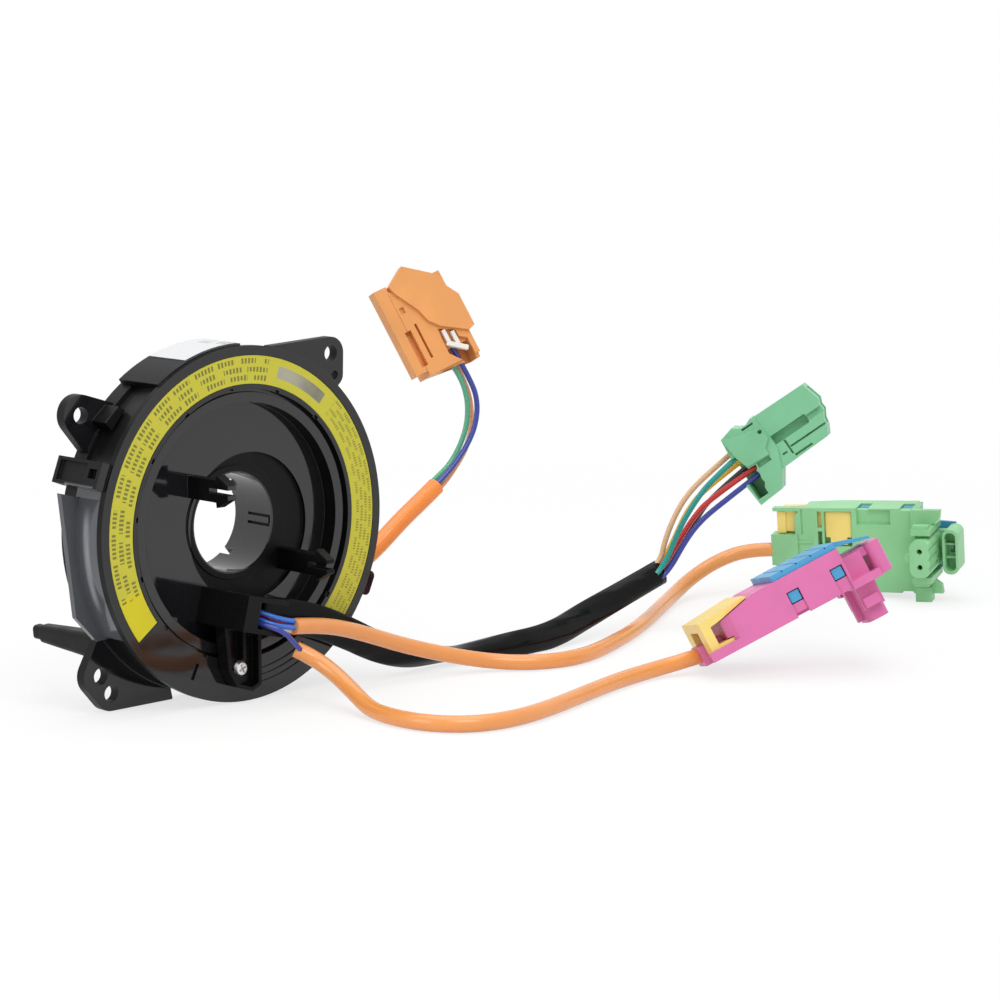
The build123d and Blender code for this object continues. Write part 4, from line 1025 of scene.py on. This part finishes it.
@dataclass
class Drum:
    """Housing, cover, printed ring, sticker, rotor, exit box, screw and the second snap post."""

    finishes: tuple[tuple[str, Finish], ...] = (
        ("rear_housing", Plastic.HOUSING), ("front_cover", Plastic.COVER),
        ("cable_exit_housing", Plastic.EXIT_BOX), ("rotor", Plastic.ROTOR), ("rotor_sleeve", Plastic.ROTOR),
        ("flat_cable_coil", Plastic.RIBBON), ("caution_label_ring", Special.RING),
        ("side_sticker", Special.STICKER), ("lock_screw", Special.SCREW))
    second_post: SnapPost = SnapPost()

    def build(self) -> None:
        """Dress the drum's parts and add the second snap post."""
        for node, choice in self.finishes:
            dress(node, choice)
        post = self.second_post.build("right_snap_post")
        post.data.materials.append(finish(Plastic.ROTOR))
        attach(post, "rotor")
        log.info("right snap post")


@dataclass
class ExitLeads:
    """Five short leads inside the exit box."""

    coverings: tuple[tuple[str, Covering], ...] = (
        ("lead_wire_blue_top", Covering.BLUE), ("lead_wire_red", Covering.RED),
        ("lead_wire_blue_mid", Covering.BLUE), ("lead_wire_white", Covering.WHITE),
        ("lead_wire_blue_low", Covering.NAVY))

    def build(self) -> None:
        """Dress the leads."""
        for node, covering in self.coverings:
            dress(node, covering)


@dataclass
class Connectors:
    """Moulded connectors and their locks."""

    squibs: tuple[tuple[str, Plastic], ...] = (("green", Plastic.GREEN), ("pink", Plastic.PINK))

    def build(self) -> None:
        """Dress the connectors' parts."""
        for colour, plastic in self.squibs:
            dress(f"{colour}_squib_housing", plastic)
            dress(f"{colour}_squib_carrier", Plastic.BLUE)
            dress(f"{colour}_squib_lock", Plastic.YELLOW)
        dress("six_way_connector", Plastic.SIX_WAY)
        dress("stator_connector_housing", Plastic.CAP_ORANGE)
        dress("stator_connector_lock", Plastic.LOCK_WHITE)


# ---------------------------------------------------------------- studio
@dataclass(frozen=True)
class Lamp:
    """Soft rectangular lamp: where it stands, its width and height in metres and its power in watts."""

    name: str
    place: Point
    size: tuple[float, float]
    power: float


@dataclass
class Studio:
    """Pale floor, soft light and the camera."""

    lens: float = 120.96
    sensor: float = 36.0
    clip: tuple[float, float] = (0.01, 50.0)
    camera_place: Point = (-0.6115, -0.7637, 0.1526)
    camera_right: Point = (0.7223, -0.6916, 0.0)
    camera_back: Point = (-0.6838, -0.7142, 0.1496)
    centre: Point = (0.12, -0.02, 0.0)
    lamps: tuple[Lamp, ...] = (
        Lamp("key", (-0.35, -0.9, 1.1), (0.9, 0.7), 7.5),
        Lamp("top", (0.15, 0.1, 1.2), (1.2, 1.2), 8.0),
        Lamp("side", (-1.1, 0.1, 0.45), (0.5, 0.8), 3.0))
    soft_strength: float = 0.5
    floor_height: float = -52.0 * MM
    floor_half: float = 30.0
    floor_grey: float = 0.9
    shadow_kept: float = 0.28
    shadow_fade: tuple[float, float] = (0.15, 0.55)

    def place_camera(self) -> None:
        """Make the camera."""
        data = bpy.data.cameras.new("camera")
        data.lens = self.lens
        data.sensor_width = self.sensor
        data.clip_start, data.clip_end = self.clip
        camera = add_object("camera", data)
        back = Vector(self.camera_back).normalized()
        right = Vector(self.camera_right).normalized()
        turn = Matrix((right, back.cross(right), back)).transposed().to_4x4()
        camera.matrix_world = Matrix.Translation(self.camera_place) @ turn
        bpy.context.scene.camera = camera
        log.info("camera with a %.0f mm lens", self.lens)

    def light(self) -> None:
        """Make the floor, the lamps and the surroundings."""
        self._floor()
        for lamp in self.lamps:
            self._light_lamp(lamp)
        self._world()
        bpy.context.scene.view_settings.view_transform = "Standard"
        log.info("studio light and floor")

    def _floor(self) -> None:
        """A wide white floor that keeps the object's shadow."""
        half = self.floor_half
        mesh = bpy.data.meshes.new("floor")
        corners = ((-half, -half), (half, -half), (half, half), (-half, half))
        mesh.from_pydata([(x, y, self.floor_height) for x, y in corners], [], [(0, 1, 2, 3)])
        floor = add_object("floor", mesh)
        paint = Paint("white_floor")
        place = paint.place()
        across, deep = paint.axis(place, "X") - self.centre[0], paint.axis(place, "Y") - self.centre[1]
        away = across.distance(deep).rises(*self.shadow_fade)
        share = paint.background_ray() * ((1.0 - self.shadow_kept) + self.shadow_kept * away)
        matt = paint.node("ShaderNodeBsdfDiffuse", {}, {"Color": (*[self.floor_grey] * 3, 1.0)})
        white = paint.node("ShaderNodeEmission", {}, {"Color": WHITE, "Strength": 1.0})
        mesh.materials.append(paint.end(paint.node("ShaderNodeMixShader", {}, {0: share, 1: matt, 2: white})))

    def _light_lamp(self, lamp: Lamp) -> None:
        """Make one lamp that looks at the object.

        Args:
            lamp: The lamp.
        """
        data = bpy.data.lights.new(lamp.name, "AREA")
        data.shape = "RECTANGLE"
        data.size, data.size_y = lamp.size
        data.energy = lamp.power
        made = add_object(lamp.name, data)
        made.location = lamp.place
        made.rotation_euler = (Vector(self.centre) - Vector(lamp.place)).to_track_quat("-Z", "Y").to_euler()

    def _world(self) -> None:
        """Soft surroundings, white where they are seen or mirrored."""
        world = bpy.data.worlds.new("surroundings")
        world.use_nodes = True
        bpy.context.scene.world = world
        paint = Paint("surroundings", world.node_tree)
        soft = paint.node("ShaderNodeBackground", {}, {"Color": WHITE, "Strength": self.soft_strength})
        white = paint.node("ShaderNodeBackground", {}, {"Color": WHITE, "Strength": 1.0})
        mixed = paint.node("ShaderNodeMixShader", {}, {0: paint.background_ray(), 1: soft, 2: white})
        paint.node("ShaderNodeOutputWorld", {}, {0: mixed})


def main() -> None:
    """Build the whole scene."""
    logging.basicConfig(level=logging.INFO, format="%(message)s")
    studio = Studio()
    studio.place_camera()
    Cords().build()
    Drum().build()
    ExitLeads().build()
    Connectors().build()
    studio.light()


if __name__ == "__main__":
    main()
